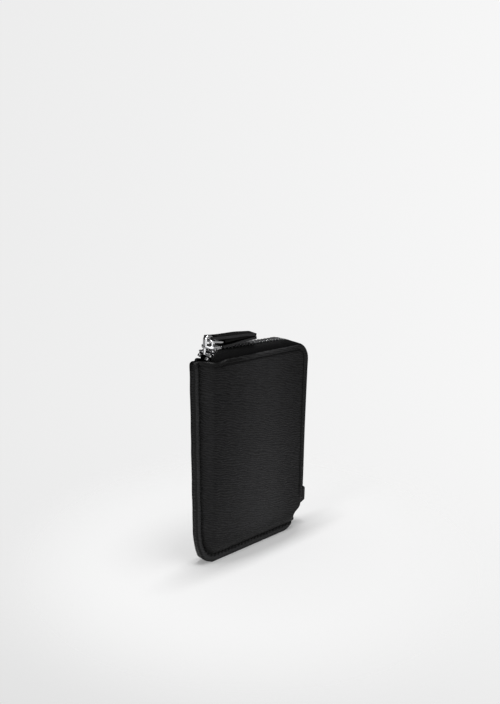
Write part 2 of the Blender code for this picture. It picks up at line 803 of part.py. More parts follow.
def add_bottom_stop():
    """The clip across both rows at the lower end of the chain."""
    end = CHAIN_RUN + GAP + BOTTOM_STOP_LENGTH / 2
    low = (-TOOTH_OUTSIDE, -STOP_HALF_HEIGHT, -BOTTOM_STOP_LENGTH / 2)
    high = (TOOTH_OUTSIDE, STOP_HALF_HEIGHT, BOTTOM_STOP_LENGTH / 2)
    stop = add_part("bottom_stop", framed_box(end, BACK, low, high), zip_metal, wallet)
    round_edges(stop, BEVEL_SMALL)


def add_ear():
    """The leather ear folded over the lower end of the tape."""
    radius = EAR_RADIUS
    left, right = PANEL_WIDTH - RIM_ROUND, EAR_END
    outline = [(left, EAR_ROOT), (left, EAR_TOP)]
    outline += arc(right - radius, EAR_TOP - radius, radius, math.pi / 2, 0.0, 3)
    outline += arc(right - 1.5 * radius, EAR_BOTTOM + radius, radius, 0.0, -math.pi / 4, 3)
    ear = add_part("zip_end_ear", upright_mesh(outline, -EAR_HALF, EAR_HALF), black_leather, wallet)
    round_edges(ear, EAR_RADIUS / 2, segments=2)


def mirrored(half_outline):
    """A closed outline from its half at +Y."""
    return half_outline + [(x, -y) for x, y in reversed(half_outline)]


def slider_plate_outline(reach):
    front = [(-a * reach, b * SLIDER_HALF_WIDTH) for a, b in FRONT_PLATE_SHARES]
    rear = [(a * SLIDER_REAR, b * SLIDER_HALF_WIDTH) for a, b in REAR_PLATE_SHARES]
    return mirrored(front + rear)


def diamond_outline():
    length = DIAMOND_FRONT - DIAMOND_BACK
    half = [(-DIAMOND_FRONT + a * length, b * DIAMOND_HALF_WIDTH) for a, b in DIAMOND_SHARES]
    return mirrored(half)


def bridge_outline():
    """Side view of the bridge that holds the ring: an arch of even strip, feet in the plate."""
    length = BRIDGE_FRONT - BRIDGE_BACK + 2 * OVERRUN
    foot = CHAIN_HALF_ROOM + OVERRUN
    base = CHAIN_HALF_ROOM + SLIDER_PLATE
    outer = [(-BRIDGE_FRONT + a * length, base + b * BRIDGE_HEIGHT) for a, b in BRIDGE_OUTER_SHARES]
    middle_x = -BRIDGE_FRONT + length / 2
    shrink_x = 1 - 2 * BRIDGE_STRIP / length
    shrink_z = 1 - BRIDGE_STRIP / BRIDGE_HEIGHT
    inner = [(middle_x + (x - middle_x) * shrink_x, base + (z - base) * shrink_z) for x, z in outer]
    return [(outer[0][0], foot)] + outer + [(outer[-1][0], foot), (inner[-1][0], foot)] + inner[::-1] + [(inner[0][0], foot)]


def rounded_tool(name, mesh, home):
    tool = add_cutter(name, mesh, home)
    round_edges(tool, SLIDER_BEVEL, segments=2)
    return tool


def add_slider(home):
    """The cast slider: two plates joined by the diamond, side lips, and the bridge on top."""
    room, plate = CHAIN_HALF_ROOM, SLIDER_PLATE
    body_mesh = plate_mesh(slider_plate_outline(SLIDER_FRONT), room, room + plate)
    for vertex in body_mesh.vertices:
        if vertex.co.z > room + plate / 2:
            vertex.co.z += SLIDER_CROWN * ease_both((SLIDER_REAR - vertex.co.x) / (SLIDER_REAR + SLIDER_FRONT))
    body = bpy.data.objects.new("slider", body_mesh)
    body_mesh.materials.append(slider_metal)
    body_mesh.shade_smooth()
    body_mesh.set_sharp_from_angle(angle=math.radians(40))
    parts.objects.link(body)
    body.parent = home
    round_edges(body, SLIDER_BEVEL, segments=2)
    lower_mesh = plate_mesh(slider_plate_outline(SLIDER_LOWER_FRONT), -room - plate, -room)
    lower = rounded_tool("slider_lower_plate", lower_mesh, home)
    post = room + plate / 2
    diamond = add_cutter("slider_diamond", plate_mesh(diamond_outline(), -post, post), home)
    join(body, diamond)
    join(body, lower)
    outside = SLIDER_HALF_WIDTH * REAR_PLATE_SHARES[1][1] - LIP_INSET
    for side in (FRONT, BACK):
        for level in (-1, 1):
            low_y, high_y = sorted((side * outside, side * (outside - LIP_WALL)))
            low_z, high_z = sorted((level * TAPE_SLOT_HALF, level * (room + plate / 2)))
            box = box_mesh((LIP_START, low_y, low_z), (SLIDER_REAR - LIP_REAR_INSET, high_y, high_z))
            join(body, add_cutter(f"slider_lip_{side}_{level}", box, home))
    arch = upright_mesh(bridge_outline(), -BRIDGE_HALF_WIDTH, BRIDGE_HALF_WIDTH)
    join(body, rounded_tool("slider_bridge", arch, home))


def ring_path():
    """Middle of the ring's wire, a rounded rectangle with its inner bar on the hinge."""
    x_low, x_high = 0.0, RING_LENGTH
    return [(x, y) for x, y in rounded_outline(x_low, x_high, -RING_HALF_WIDTH, RING_HALF_WIDTH, RING_CORNER)]


def add_ring(home):
    curve = bpy.data.curves.new("pull_ring", "CURVE")
    curve.dimensions = "3D"
    curve.bevel_depth = RING_WIRE
    curve.bevel_resolution = WIRE_SIDES
    points = [point for index, point in enumerate(ring_path()) if index % 2 == 0]
    spline = curve.splines.new("POLY")
    spline.points.add(len(points) - 1)
    for point, (x, y) in zip(spline.points, points):
        point.co = (x, y, 0.0, 1.0)
    spline.use_cyclic_u = True
    ring = add_part("pull_ring", mesh_of_curve(curve), slider_metal, home, round_piece=True)
    ring.rotation_euler.y = RING_TILT


def add_upper_tab(home):
    """The upper leather layer: two prongs beside the bridge, then one strip to the free end."""
    prongs = [-TAB_OVERHANG, TAB_SLOT_LENGTH / 2, TAB_SLOT_LENGTH]
    places = prongs + between(TAB_SLOT_LENGTH, TAB_LENGTH - TAB_END_ROUND, 6)
    places += [TAB_LENGTH - TAB_END_ROUND, TAB_LENGTH]
    widths = (-TAB_HALF_WIDTH, -TAB_SLOT_HALF, 0.0, TAB_SLOT_HALF, TAB_HALF_WIDTH)
    level = RING_WIRE + GAP

    def place(column, row):
        x, y = places[column], widths[row]
        if column == len(places) - 1:
            y *= 1 - TAB_END_ROUND / TAB_HALF_WIDTH
        return (x, y, level + TAB_LEATHER - TAB_DROOP * along_shares(x / TAB_LENGTH, DROOP_SHARES))

    mesh = grid_mesh(len(places), len(widths), place)
    strip = bmesh.new()
    strip.from_mesh(mesh)
    slot = [
        face
        for face in strip.faces
        if face.calc_center_median().x < TAB_SLOT_LENGTH and abs(face.calc_center_median().y) < TAB_SLOT_HALF
    ]
    bmesh.ops.delete(strip, geom=slot, context="FACES")
    strip.to_mesh(mesh)
    strip.free()
    tab = add_part("tab_upper", mesh, black_leather, home, round_piece=True)
    solidify(tab, TAB_LEATHER, -1.0)


def add_lower_tab(home):
    """The under layer, from just behind the slider up to the upper layer at the free end."""
    bar = -RING_LENGTH * math.sin(RING_TILT) - RING_WIRE - GAP
    end = RING_WIRE - TAB_DROOP
    shares = UNDER_RISE_SHARES

    def place(column, row):
        x = UNDER_START + (TAB_LENGTH - UNDER_START) * shares[column][0]
        y = (-TAB_HALF_WIDTH, TAB_HALF_WIDTH)[row]
        if column == len(shares) - 1:
            y *= 1 - TAB_END_ROUND / TAB_HALF_WIDTH
        return (x, y, bar + (end - bar) * shares[column][1])

    tab = add_part("tab_lower", grid_mesh(len(shares), 2, place), black_leather, home, round_piece=True)
    solidify(tab, TAB_LEATHER, -1.0)


clear_scene()
parts = make_collection("zip_wallet")
cutters = make_collection("zip_wallet_cutters")
cutters.hide_render = True

black_leather = make_material("black_leather", (0.012, 0.012, 0.013), 0.55)
black_tape = make_material("black_tape", (0.010, 0.010, 0.011), 0.8)
lining_cloth = make_material("lining_cloth", (0.03, 0.03, 0.032), 0.9)
grey_board = make_material("grey_board", (0.22, 0.21, 0.2), 0.9)
zip_metal = make_material("zip_metal", (0.62, 0.62, 0.64), 0.28, 1.0)
slider_metal = make_material("slider_metal", (0.68, 0.68, 0.70), 0.18, 1.0)

wallet = add_empty("wallet_frame", None, (-MIDDLE_X, 0.0, 0.0))
slider_home = add_empty("slider_home", wallet, (SLIDER_PLACE, 0.0, CHAIN_LEVEL))
slider_home.rotation_euler.y = CHAIN_SLOPE
pull_home = add_empty("pull_home", slider_home, (HINGE_X - SLIDER_PLACE, 0.0, HINGE_Z - CHAIN_LEVEL), PULL_YAW)
pull_home.rotation_euler.y = -CHAIN_SLOPE

add_panel("front_panel", FRONT)
add_panel("back_panel", BACK)
add_board("front_board", FRONT)
add_board("back_board", BACK)
add_lining("front_lining", FRONT)
add_lining("back_lining", BACK)
add_seam_core()
add_pocket("card_pocket_upper", 0, UPPER_POCKET_HEIGHT)
add_pocket("card_pocket_lower", 1, LOWER_POCKET_HEIGHT)
add_tape("front_tape", FRONT)
add_tape("back_tape", BACK)
add_teeth("front_teeth", FRONT)
add_teeth("back_teeth", BACK)
add_top_stop("front_top_stop", FRONT)
add_top_stop("back_top_stop", BACK)
add_bottom_stop()
add_ear()
add_slider(slider_home)
add_ring(pull_home)
add_upper_tab(pull_home)
add_lower_tab(pull_home)
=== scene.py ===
"""Looks of a small black leather zip wallet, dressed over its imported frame.

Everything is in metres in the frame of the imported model: +Z up, +X along the zip from its closed
end, the front faces -Y. Shapes are laid out in wallet measures, x from the sewn left edge and z from
the sewn bottom edge, and Layout carries them to their place.
"""

from __future__ import annotations

import json
import logging
import math
from dataclasses import dataclass
from enum import Enum
from typing import Callable, Sequence

import bmesh
import bpy
import numpy as np
from mathutils import Matrix, Vector

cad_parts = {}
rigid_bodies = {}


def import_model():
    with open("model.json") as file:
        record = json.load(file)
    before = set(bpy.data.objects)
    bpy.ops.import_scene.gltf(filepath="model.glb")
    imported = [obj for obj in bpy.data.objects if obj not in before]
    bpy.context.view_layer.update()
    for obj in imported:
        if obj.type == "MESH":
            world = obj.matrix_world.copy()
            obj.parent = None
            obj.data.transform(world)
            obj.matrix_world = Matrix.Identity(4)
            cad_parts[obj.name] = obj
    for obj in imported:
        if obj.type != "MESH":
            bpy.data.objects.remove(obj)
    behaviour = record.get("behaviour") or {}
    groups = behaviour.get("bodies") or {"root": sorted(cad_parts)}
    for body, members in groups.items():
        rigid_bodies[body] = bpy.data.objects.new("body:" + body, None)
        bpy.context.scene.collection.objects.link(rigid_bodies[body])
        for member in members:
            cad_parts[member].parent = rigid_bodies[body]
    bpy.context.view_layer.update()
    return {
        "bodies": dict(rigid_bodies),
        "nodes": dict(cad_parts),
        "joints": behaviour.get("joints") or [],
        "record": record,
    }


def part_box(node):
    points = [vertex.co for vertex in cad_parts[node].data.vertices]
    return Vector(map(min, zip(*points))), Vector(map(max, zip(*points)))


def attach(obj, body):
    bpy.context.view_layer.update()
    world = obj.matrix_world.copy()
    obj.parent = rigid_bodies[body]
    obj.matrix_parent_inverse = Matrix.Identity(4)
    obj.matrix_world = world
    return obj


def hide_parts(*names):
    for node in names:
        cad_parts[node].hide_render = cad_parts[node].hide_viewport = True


LOG = logging.getLogger("zip_wallet")

Array = np.ndarray
Material = bpy.types.Material
Piece = bpy.types.Object


class Side(Enum):
    """The two halves of the wallet. The value is the sign of their Y."""

    FRONT = -1
    BACK = 1

    @property
    def word(self) -> str:
        """The side as it stands in node names."""
        return self.name.lower()


# Leather body.
PANEL_WIDTH = 0.0752
TOP_HALF = 0.0072
BOTTOM_HALF = 0.0058
SEAM_HALF = 0.0024
FOOT_SEAM_HALF = 0.0034
LEATHER = 0.0013
LEFT_EDGE_HALF = 0.0007
FOOT_HALF = 0.0032
EDGE_ROUND = 0.0020
SEAM_MARGIN = 0.0036
PUFF_START = 0.0042
PUFF_RAMP = 0.0060
TOP_RIGHT_RADIUS = 0.0076
BOTTOM_LEFT_RADIUS = 0.0124
BOTTOM_RIGHT_RADIUS = 0.0058
NOTCH_DEPTH = 0.0050
NOTCH_TOP = 0.0174
TAPER_SHARE = 0.026
GAP = 0.0003

# Looks of the leather that the frame leaves out.
RIM_ROUND = 0.0011
RIM_INNER_ROUND = 0.0004
TURNED_EDGE = 0.0023
TURNED_EDGE_RISE = 0.00032
CREASE_DEPTH = 0.00034
CREASE_REACH = 0.0008
CREASE_MIDDLE = 0.4 * CREASE_REACH
RIM_FLAT = 0.001
RIM_FADE = 0.006
TOP_LEFT_ROUND = 0.0022
RIM_DIP = 0.0009
RIM_DIP_X = 0.0125
RIM_DIP_REACH = 0.0052
RIM_DIP_HEIGHT = 0.006
UNEVEN = 0.00016
UNEVEN_LONG = 0.028
UNEVEN_SHORT = 0.011
UNEVEN_SHORT_SHARE = 0.5
UNEVEN_SEEDS = {Side.FRONT: 3, Side.BACK: 8}
CROWN = 0.0004
SOFT_CORNER_WIDTH = 0.0053
SOFT_CORNER_HEIGHT = 0.0200
SOFT_CORNER_REACH = 0.0120
SOFT_CORNER_POWER = 2.1
SOFT_TOE_WIDTH = 0.0040
SOFT_TOE_HEIGHT = 0.0045
SOFT_TOE_POWER = 2.6
EDGE_RIPPLE = 0.00018
EDGE_RIPPLE_LENGTH = 0.021
EDGE_RIPPLE_SEED = 11
EDGE_RIPPLE_FADE = 0.02
EDGE_RIPPLE_START = 0.001
NOTCH_FORM_START = 0.055
NOTCH_FORM_RAMP = 0.014
THINNEST = 0.00025

# Stitch line. Shares at a hole and at the foot add to the plain ones.
GROOVE_HALF = 0.00036
GROOVE_DEPTH = 0.00075
GROOVE_SHARE = 0.7
GROOVE_HOLE_SHARE = 0.3
GROOVE_FOOT_LOSS = 0.5
GROOVE_REACH = 2.2
GROOVE_FOOT_REACH = 1.2
PUCKER_DEPTH = 0.00016
PUCKER_MIDDLE = 0.0004
PUCKER_REACH = 0.0016
SEAM_WANDER = 0.00016
SEAM_WANDER_LENGTH = 0.009
SEAM_WANDER_SEED = 21
HOLE_SLANT = 0.45
STITCH_PITCH = 0.0024
STITCH_LENGTH = 0.0017
STITCH_SLANT = math.radians(13)
STITCH_WOBBLE = 0.05
STITCH_SEED = 5
STITCH_LIFT = 0.8
STITCH_TOP_INSET = 0.0012
STITCH_END_RUN = 0.004
STITCH_STEPS = 8
STITCH_SIDES = 8
THREAD_RADIUS = 0.00026
THREAD_END_SHARE = 0.45
THREAD_MIDDLE_SHARE = 0.55
THREAD_RISE = 0.4
THREAD_DIP = 1.5

# Grid of the panels: insets of extra lines, and the spacing of the even ones.
GRID_FLANGE_LINES = (0.0024, 0.0028)
GRID_SEAM_REACH = 0.0006
GRID_PUFF_SHARE = 0.06
GRID_CREASE_LINES = (0.0036, 0.0033)
GRID_RIM_TURN = 0.2
GRID_BORDERS = 0.02
GRID_STEP_UP = 0.00078
GRID_STEP_ACROSS = 0.00040

# Painted light and shade on the panels, from -1 for painted shade to 1 for painted highlight and sheen; on
# the flanges the light is partly wear.
SEAM_TONE = 0.3
HOLE_TONE = 0.5
TICK_TONE = 2.6
TICK_POWER = 3
TICK_BETWEEN = 0.08
RIM_SHADE_END = 0.010
RIM_HIGHLIGHT_START = 0.016
RIM_TONE_RAMP = 0.03
# The sewn flanges are lighter: partly wear, partly a painted sheen, more of it at the foot.
FLANGE_WEAR_AND_SHEEN = 0.75
FLANGE_FOOT_WEAR_AND_SHEEN = 0.5
FLANGE_MIDDLE = 0.0018
FLANGE_REACH = 0.0017
FLANGE_FOOT_REACH = 0.0004
# Painted sheen down the middle of the panels, stronger low down.
BELLY_START = 0.005
BELLY_RAMP = 0.01
BELLY_LOW = 1.2
BELLY_FALL = 0.4

# Pressed grain: form, then the weights of its parts in height and tone.
GRAIN_TURN = math.radians(-14)
GRAIN_PITCH = 0.00125
GRAIN_DRIFT = (0.003, 0.003, 0.004)
GRAIN_STRETCH = (0.42, 0.6, 1.0)
GRAIN_FINE_SCALE = 780.0
GRAIN_PEBBLE_RATIO = 2.4
GRAIN_LINES = 0.55
GRAIN_FINE = 0.9
GRAIN_PEBBLES = 0.18
GRAIN_TONE_GAIN = 0.66
GRAIN_TONE_SHIFT = -0.34
GRAIN_CLOUDS = 0.21
# Weight in the tone of the painted light and shade that the line attribute carries, partly wear on the
# flanges.
PAINTED_LIGHT_WEIGHT = 0.85
WAVE_FACTOR = 20

# Weave, in millimetres, and the weights of its parts.
RIB_LENGTH = 0.42
YARN_LENGTH = 0.84
YARN_WIDTH = 0.36
RIB_SHARE = 0.35
YARN_SHARE = 0.4
YARN_ALONG_SHARE = 0.3
WEAVE_TONE_GAIN = 0.4
WEAVE_TONE = 0.5
MILLIMETRES = 1000
RIBBON_ALONG = 0.8
RIBBON_ACROSS = 0.8
RIBBON_ROUND = 0.28

# Layers inside the body.
BOARD = 0.0006
LINING = 0.0004
LINING_START = 0.0054
LINING_EDGE_HALF = 0.0012
LINING_DROP = 0.0025
POCKET = 0.0005
POCKET_SIDE_INSET = 0.0100
POCKET_HEM = 0.0030
LOWER_POCKET_HEIGHT = 0.0560
UPPER_POCKET_HEIGHT = 0.0720
POCKET_EDGE_SHARE = 0.55
POCKET_FULL_SHARE = 0.45
POCKET_EDGE_ROUND = 0.0005
POCKET_EDGE_START = 0.0001
POCKET_HEM_DEPTH = 0.00012
POCKET_HEM_REACH = 0.0006
POCKET_COLUMNS = 40
POCKET_ROWS = 30
SHEET_RADIUS = 0.0030
LINING_PLAIN_SHARE = 0.8
LINING_HEM_SHARE = 0.2
LINING_HEM = 0.004
LINING_HEM_STEP = 0.0006
LINING_LINES = 44

# Zip chain.
CHAIN_HEIGHT = 0.0043
CHAIN_SIDE_HEIGHT = 0.0025
CHAIN_SLOPE = math.radians(1.2)
BEND_RADIUS = 0.0240
BEND_TURN = math.radians(20)
BEND_RUN = 0.0080
CORNER_RADIUS = 0.0100
CHAIN_PHASE = 0.0007
TOOTH_PITCH = 0.00236
TOOTH_REACH = 0.0007
TOOTH_SHOULDER = 0.0013
TOOTH_OUTSIDE = 0.0030
TOOTH_HALF_HEIGHT = 0.0011
TOOTH_HALF_THICKNESS = 0.00048
TOOTH_BEVEL = 0.00013
# Painted shade on the teeth's outer ends, fading out towards the slider.
TOOTH_END_SHADE_LENGTH = 0.0005
TOOTH_END_SHADE_FADE = 0.002
TOOTH_WOBBLE = 0.02
TOOTH_SEED = 4
ROW_STEP = TOOTH_PITCH / 20
CORD_TAIL = 0.0004
CORD_MIDDLE = 0.0022
CORD_WIDE = 0.00052
CORD_TALL = 0.00055
CORD_END = 0.0008
CORD_RINGS = 220
CORD_SIDES = 12
PART_SPREAD = 0.0022
PART_LENGTH = 0.0058
PART_ROLL = math.radians(12)
PART_TURN_SHARE = 0.4
DIVE_START = 0.0027
DIVE_LENGTH = 0.0026
DIVE_ANGLE = math.radians(50)
ROW_END = 0.0074
CHAIN_FOOT = 0.0257
STOP_LENGTH = 0.0015
STOP_HALF_HEIGHT = 0.0008
STOP_INSIDE = 0.0004
STOP_OUTSIDE = 0.0021
BOTTOM_STOP_LENGTH = 0.0024
STOP_ROUND = 0.00025

# Leather ear over the lower end of the tape.
EAR_BOTTOM = 0.0140
EAR_TOP = 0.0224
EAR_REACH = 0.0058
EAR_HALF = 0.0027
EAR_RADIUS = 0.0012
EAR_ROOT = 0.0124
EAR_OVERLAP = 0.0011
EAR_FORWARD = 0.0018
EAR_ROOT_SHARE = 0.25
EAR_SLANT_SHARE = 0.75
EAR_END_SHARE = 0.72
EAR_FULL_SHARE = 0.28
EAR_END_START = 0.0001
EAR_END_ROUND = 0.0007
EAR_NOSE_POWER = 0.13
EAR_SIDE_POWER = 0.32
EAR_RINGS = 40
EAR_SIDES = 33

# Slider.
SLIDER_PLACE = 0.0136
MESH_POINT = 0.0006
SLIDER_FRONT = 0.0057
SLIDER_REAR = 0.0029
SLIDER_CROWN = 0.0004
SLIDER_LOWER_FRONT = 0.0031
SLIDER_HALF_WIDTH = 0.0046
SLIDER_PLATE = 0.0009
SLIDER_ROOM = 0.00025
SLIDER_ROUND = 0.0003
LIP_WALL = 0.0008
LIP_INSET = 0.00015
LIP_START = 0.0004
LIP_REAR_INSET = 0.0003
TAPE_SLOT_HALF = 0.0007
DIAMOND_FRONT = 0.0055
DIAMOND_BACK = 0.0029
DIAMOND_HALF_WIDTH = 0.00085
BRIDGE_HALF_WIDTH = 0.0014
BRIDGE_FRONT = 0.0054
BRIDGE_BACK = 0.0008
BRIDGE_HEIGHT = 0.0056
BRIDGE_STRIP = 0.0014
OVERRUN = 0.0004
FRONT_PLATE_SHARES = ((1.0, 0.14), (0.9, 0.42), (0.74, 0.76), (0.55, 0.96), (0.35, 1.0))
REAR_PLATE_SHARES = ((0.30, 0.98), (0.75, 0.91), (0.95, 0.84), (1.0, 0.70))
DIAMOND_SHARES = ((0.0, 0.5), (0.2, 1.0), (0.5, 0.7), (1.0, 0.18))
BRIDGE_SHARES = (
    (0.0, 0.52), (0.03, 0.74), (0.12, 0.91), (0.32, 1.0), (0.68, 0.98), (0.92, 0.82), (1.0, 0.52),
)
BRIDGE_POWER = 0.95
DIAMOND_ROUND = 0.0001
LIP_ROUND = 0.00018

# Puller.
RING_WIRE = 0.0006
RING_LENGTH = 0.0073
RING_HALF_WIDTH = 0.0034
RING_CORNER = 0.0012
RING_RISE = 0.00275
RING_PLAY = 0.0004
RING_TILT = math.radians(9)
PULL_YAW = math.radians(-6)
TAB_LEATHER = 0.0012
TAB_HALF_WIDTH = 0.0043
TAB_LENGTH = 0.0278
TAB_END_SKEW = 0.0003
TAB_SLOT_HALF = 0.0022
TAB_SLOT_LENGTH = 0.0049
TAB_DROOP = 0.0010
TAB_END_ROUND = 0.0012
TAB_EDGE_ROUND = 0.00042
TAB_CREASE_INSET = 0.0009
TAB_CREASE_DEPTH = 0.00012
TAB_CREASE_REACH = 0.00045
TAB_CREASE_LINES = (0.0004, 0.0002, 0.0, -0.0002, -0.0004)
TAB_UNEVEN = 0.00006
TAB_UNEVEN_ALONG = 420
TAB_UNEVEN_ACROSS = 200
# Painted light on the pull's straps: a painted highlight along their rounded edges, and painted shade over
# the whole strap.
TAB_EDGE_HIGHLIGHT = 0.9
TAB_EDGE_HIGHLIGHT_REACH = 0.0007
TAB_EDGE_HIGHLIGHT_END = 0.0015
TAB_SHADE = 0.30
TAB_SEAM = 0.0100
TAB_SEAM_HALF = 0.0026
TAB_STITCHES = 4
TAB_STITCH_LIFT = 0.2
TAB_STITCH_SEED = 9
UNDER_START = 0.0066
UNDER_HANG = 0.0011
ARM_START = 0.0005
# A dark filler between the two straps, in the thread's black, stands for the shade in the gap between them.
GAP_SHADE_START = 0.0083
GAP_SHADE_HALF_WIDTH = 0.0037
GAP_SHADE_END_INSET = 0.0011
GAP_SHADE_SINK = 0.00005
GAP_SHADE_POWER = 0.5
DROOP_SHARES = ((0.0, 0.0), (0.2, 0.3), (0.45, 0.36), (0.7, 0.4), (0.9, 0.72), (1.0, 1.0))
UNDER_RISE_SHARES = ((0.0, 0.0), (0.18, 0.12), (0.42, 0.42), (0.65, 0.66), (0.85, 0.86), (1.0, 1.0))

# Zip tape.
TAPE = 0.0006
TAPE_HEM = 0.0060
TAPE_SHOULDER = 0.0009
TAPE_SAG = 0.00015
TAPE_LOW_POINT = 0.0005
TAPE_FOOT = 0.0174
TAPE_PUFF_RUNS = (0.041, 0.046, 0.066, 0.075, 0.110)
TAPE_PUFFS = (0.0, 0.0010, 0.0007, 0.0004, 0.0)

# Camera, fitted to the photograph: 700 px of focal length on a frame 704 px high.
FOCAL_PIXELS = 700.0
FRAME_PIXELS = 704.0
SENSOR = 36.0
CAMERA_PLACE = Vector((-0.23882, -0.26858, 0.19031))
CAMERA_FACING = Vector((0.64667, 0.73000, -0.22120))

# Floor and backdrop.
WHITE = (1.0, 1.0, 1.0, 1.0)
FLOOR_RADIUS = 0.9
FLOOR_FADE_START = 0.075
FLOOR_FADE_END = 0.15
BACKDROP_DISTANCE = 3.0
BACKDROP_HALF = 2.0
BACKDROP_LEVEL = 0.885
BACKDROP_RISE = 0.036
BACKDROP_FALL = -0.036

# World light: what it casts, what gloss mirrors of it, and what the camera sees.
CAST_ABOVE = 0.26
CAST_BELOW = 0.62
MIRRORED_ABOVE = 0.04
MIRRORED_BELOW = 0.30
CAMERA_SEES = 0.88
LEFT_GLOW = (-0.60, -0.72, 0.14)
LEFT_GLOW_SPAN = (0.56, 0.88)
LEFT_GLOW_STRENGTH = 1.1
RIGHT_GLOW = (0.66, -0.74, 0.05)
RIGHT_GLOW_SPAN = (0.2, 0.9)
RIGHT_GLOW_STRENGTH = 0.34
LAMP_AIM = Vector((0.0, 0.0, 0.06))


def ease_out(share: Array) -> Array:
    """A share that rises fast and then levels off."""
    return 1 - (1 - np.clip(share, 0.0, 1.0)) ** 2


def ease_both(share: Array) -> Array:
    """A share with a soft start and a soft end."""
    share = np.clip(share, 0.0, 1.0)
    return share * share * (3 - 2 * share)


def quarter_round(inset: Array, radius: float) -> Array:
    """How high a rounded edge stands at this inset, as a share of its radius."""
    share = np.clip(inset / radius, 0.0, 1.0)
    return np.sqrt(1 - (1 - share) ** 2)


def corner_inset(radius: float, distance: Array) -> Array:
    """How far a round corner has drawn in, this far past its start."""
    share = np.clip(distance / radius, 0.0, 1.0)
    return radius * (1 - np.sqrt(1 - share**2))


def hump(distance: Array, reach: float) -> Array:
    """A soft hill, 1 at its middle and 0 beyond its reach."""
    return np.clip(1 - (distance / reach) ** 2, 0.0, 1.0) ** 2


def waves(x: Array, z: Array, length: float, seed: int) -> Array:
    """Smooth unevenness from -1 to 1, made of a few plane waves with a fixed seed.

    Args:
        x: places along X, in metres.
        z: places along Z, in metres.
        length: the mean wave length, in metres.
        seed: picks the directions and phases.

    Returns:
        The height at each place.
    """
    dice = np.random.default_rng(seed)
    total = np.zeros_like(x, dtype=float)
    count = 7
    for _ in range(count):
        angle, phase = dice.uniform(0, 2 * math.pi, 2)
        near = 2 * math.pi / (length * dice.uniform(0.6, 1.6))
        total = total + np.sin(near * (x * math.cos(angle) + z * math.sin(angle)) + phase)
    return total / count


def full_turn(count: int) -> Array:
    """Angles of as many even steps round a circle."""
    return np.linspace(0, 2 * math.pi, count, endpoint=False)


@dataclass(frozen=True)
class Band:
    """A soft hill across a line, of tone or of height.

    Attributes:
        peak: its value at its middle.
        middle: how far from the line its middle lies, in metres.
        reach: how far it spreads to either side, in metres.
    """

    peak: float
    middle: float
    reach: float

    def at(self, distance: Array) -> Array:
        """Its value at this distance from the line."""
        return self.peak * hump(distance - self.middle, self.reach)


# Bands on the panels. The shade bands are painted shade in the stitch groove and its holes, under the turned
# edge, along the rim and in other hollows; the highlight and sheen bands are painted light. Those of the
# notch lie over the foot and move the contour out.
SEAM_SHADE = Band(1.0, 0.0001, 0.0009)
TICK_SHADE = Band(1.0, 0.0008, 0.0025)
TURNED_EDGE_SHADE = Band(0.5, 0.0004, 0.0009)
SWELL_SHADE = Band(0.10, 0.0070, 0.0075)
SEWN_EDGE_SHADE = Band(0.9, 0.0006, 0.0005)
RIM_LEFT_SHADE = Band(0.45, 0.0010, 0.0022)
RIM_SHADE = Band(0.18, 0.0008, 0.0014)
LOW_RIGHT_SHADE_X = Band(0.22, 0.070, 0.022)
LOW_RIGHT_SHADE_Z = Band(1.0, 0.014, 0.030)
# Painted highlight along the rounded top rim.
RIM_HIGHLIGHT = Band(0.10, 0.0010, 0.0012)
# Painted sheen down the middle of the panel.
BELLY_SHEEN = Band(0.50, 0.0430, 0.029)
NOTCH_FORM = (Band(0.0006, 0.0132, 0.0026), Band(-0.0016, 0.0096, 0.0034), Band(0.0013, 0.0040, 0.0036))


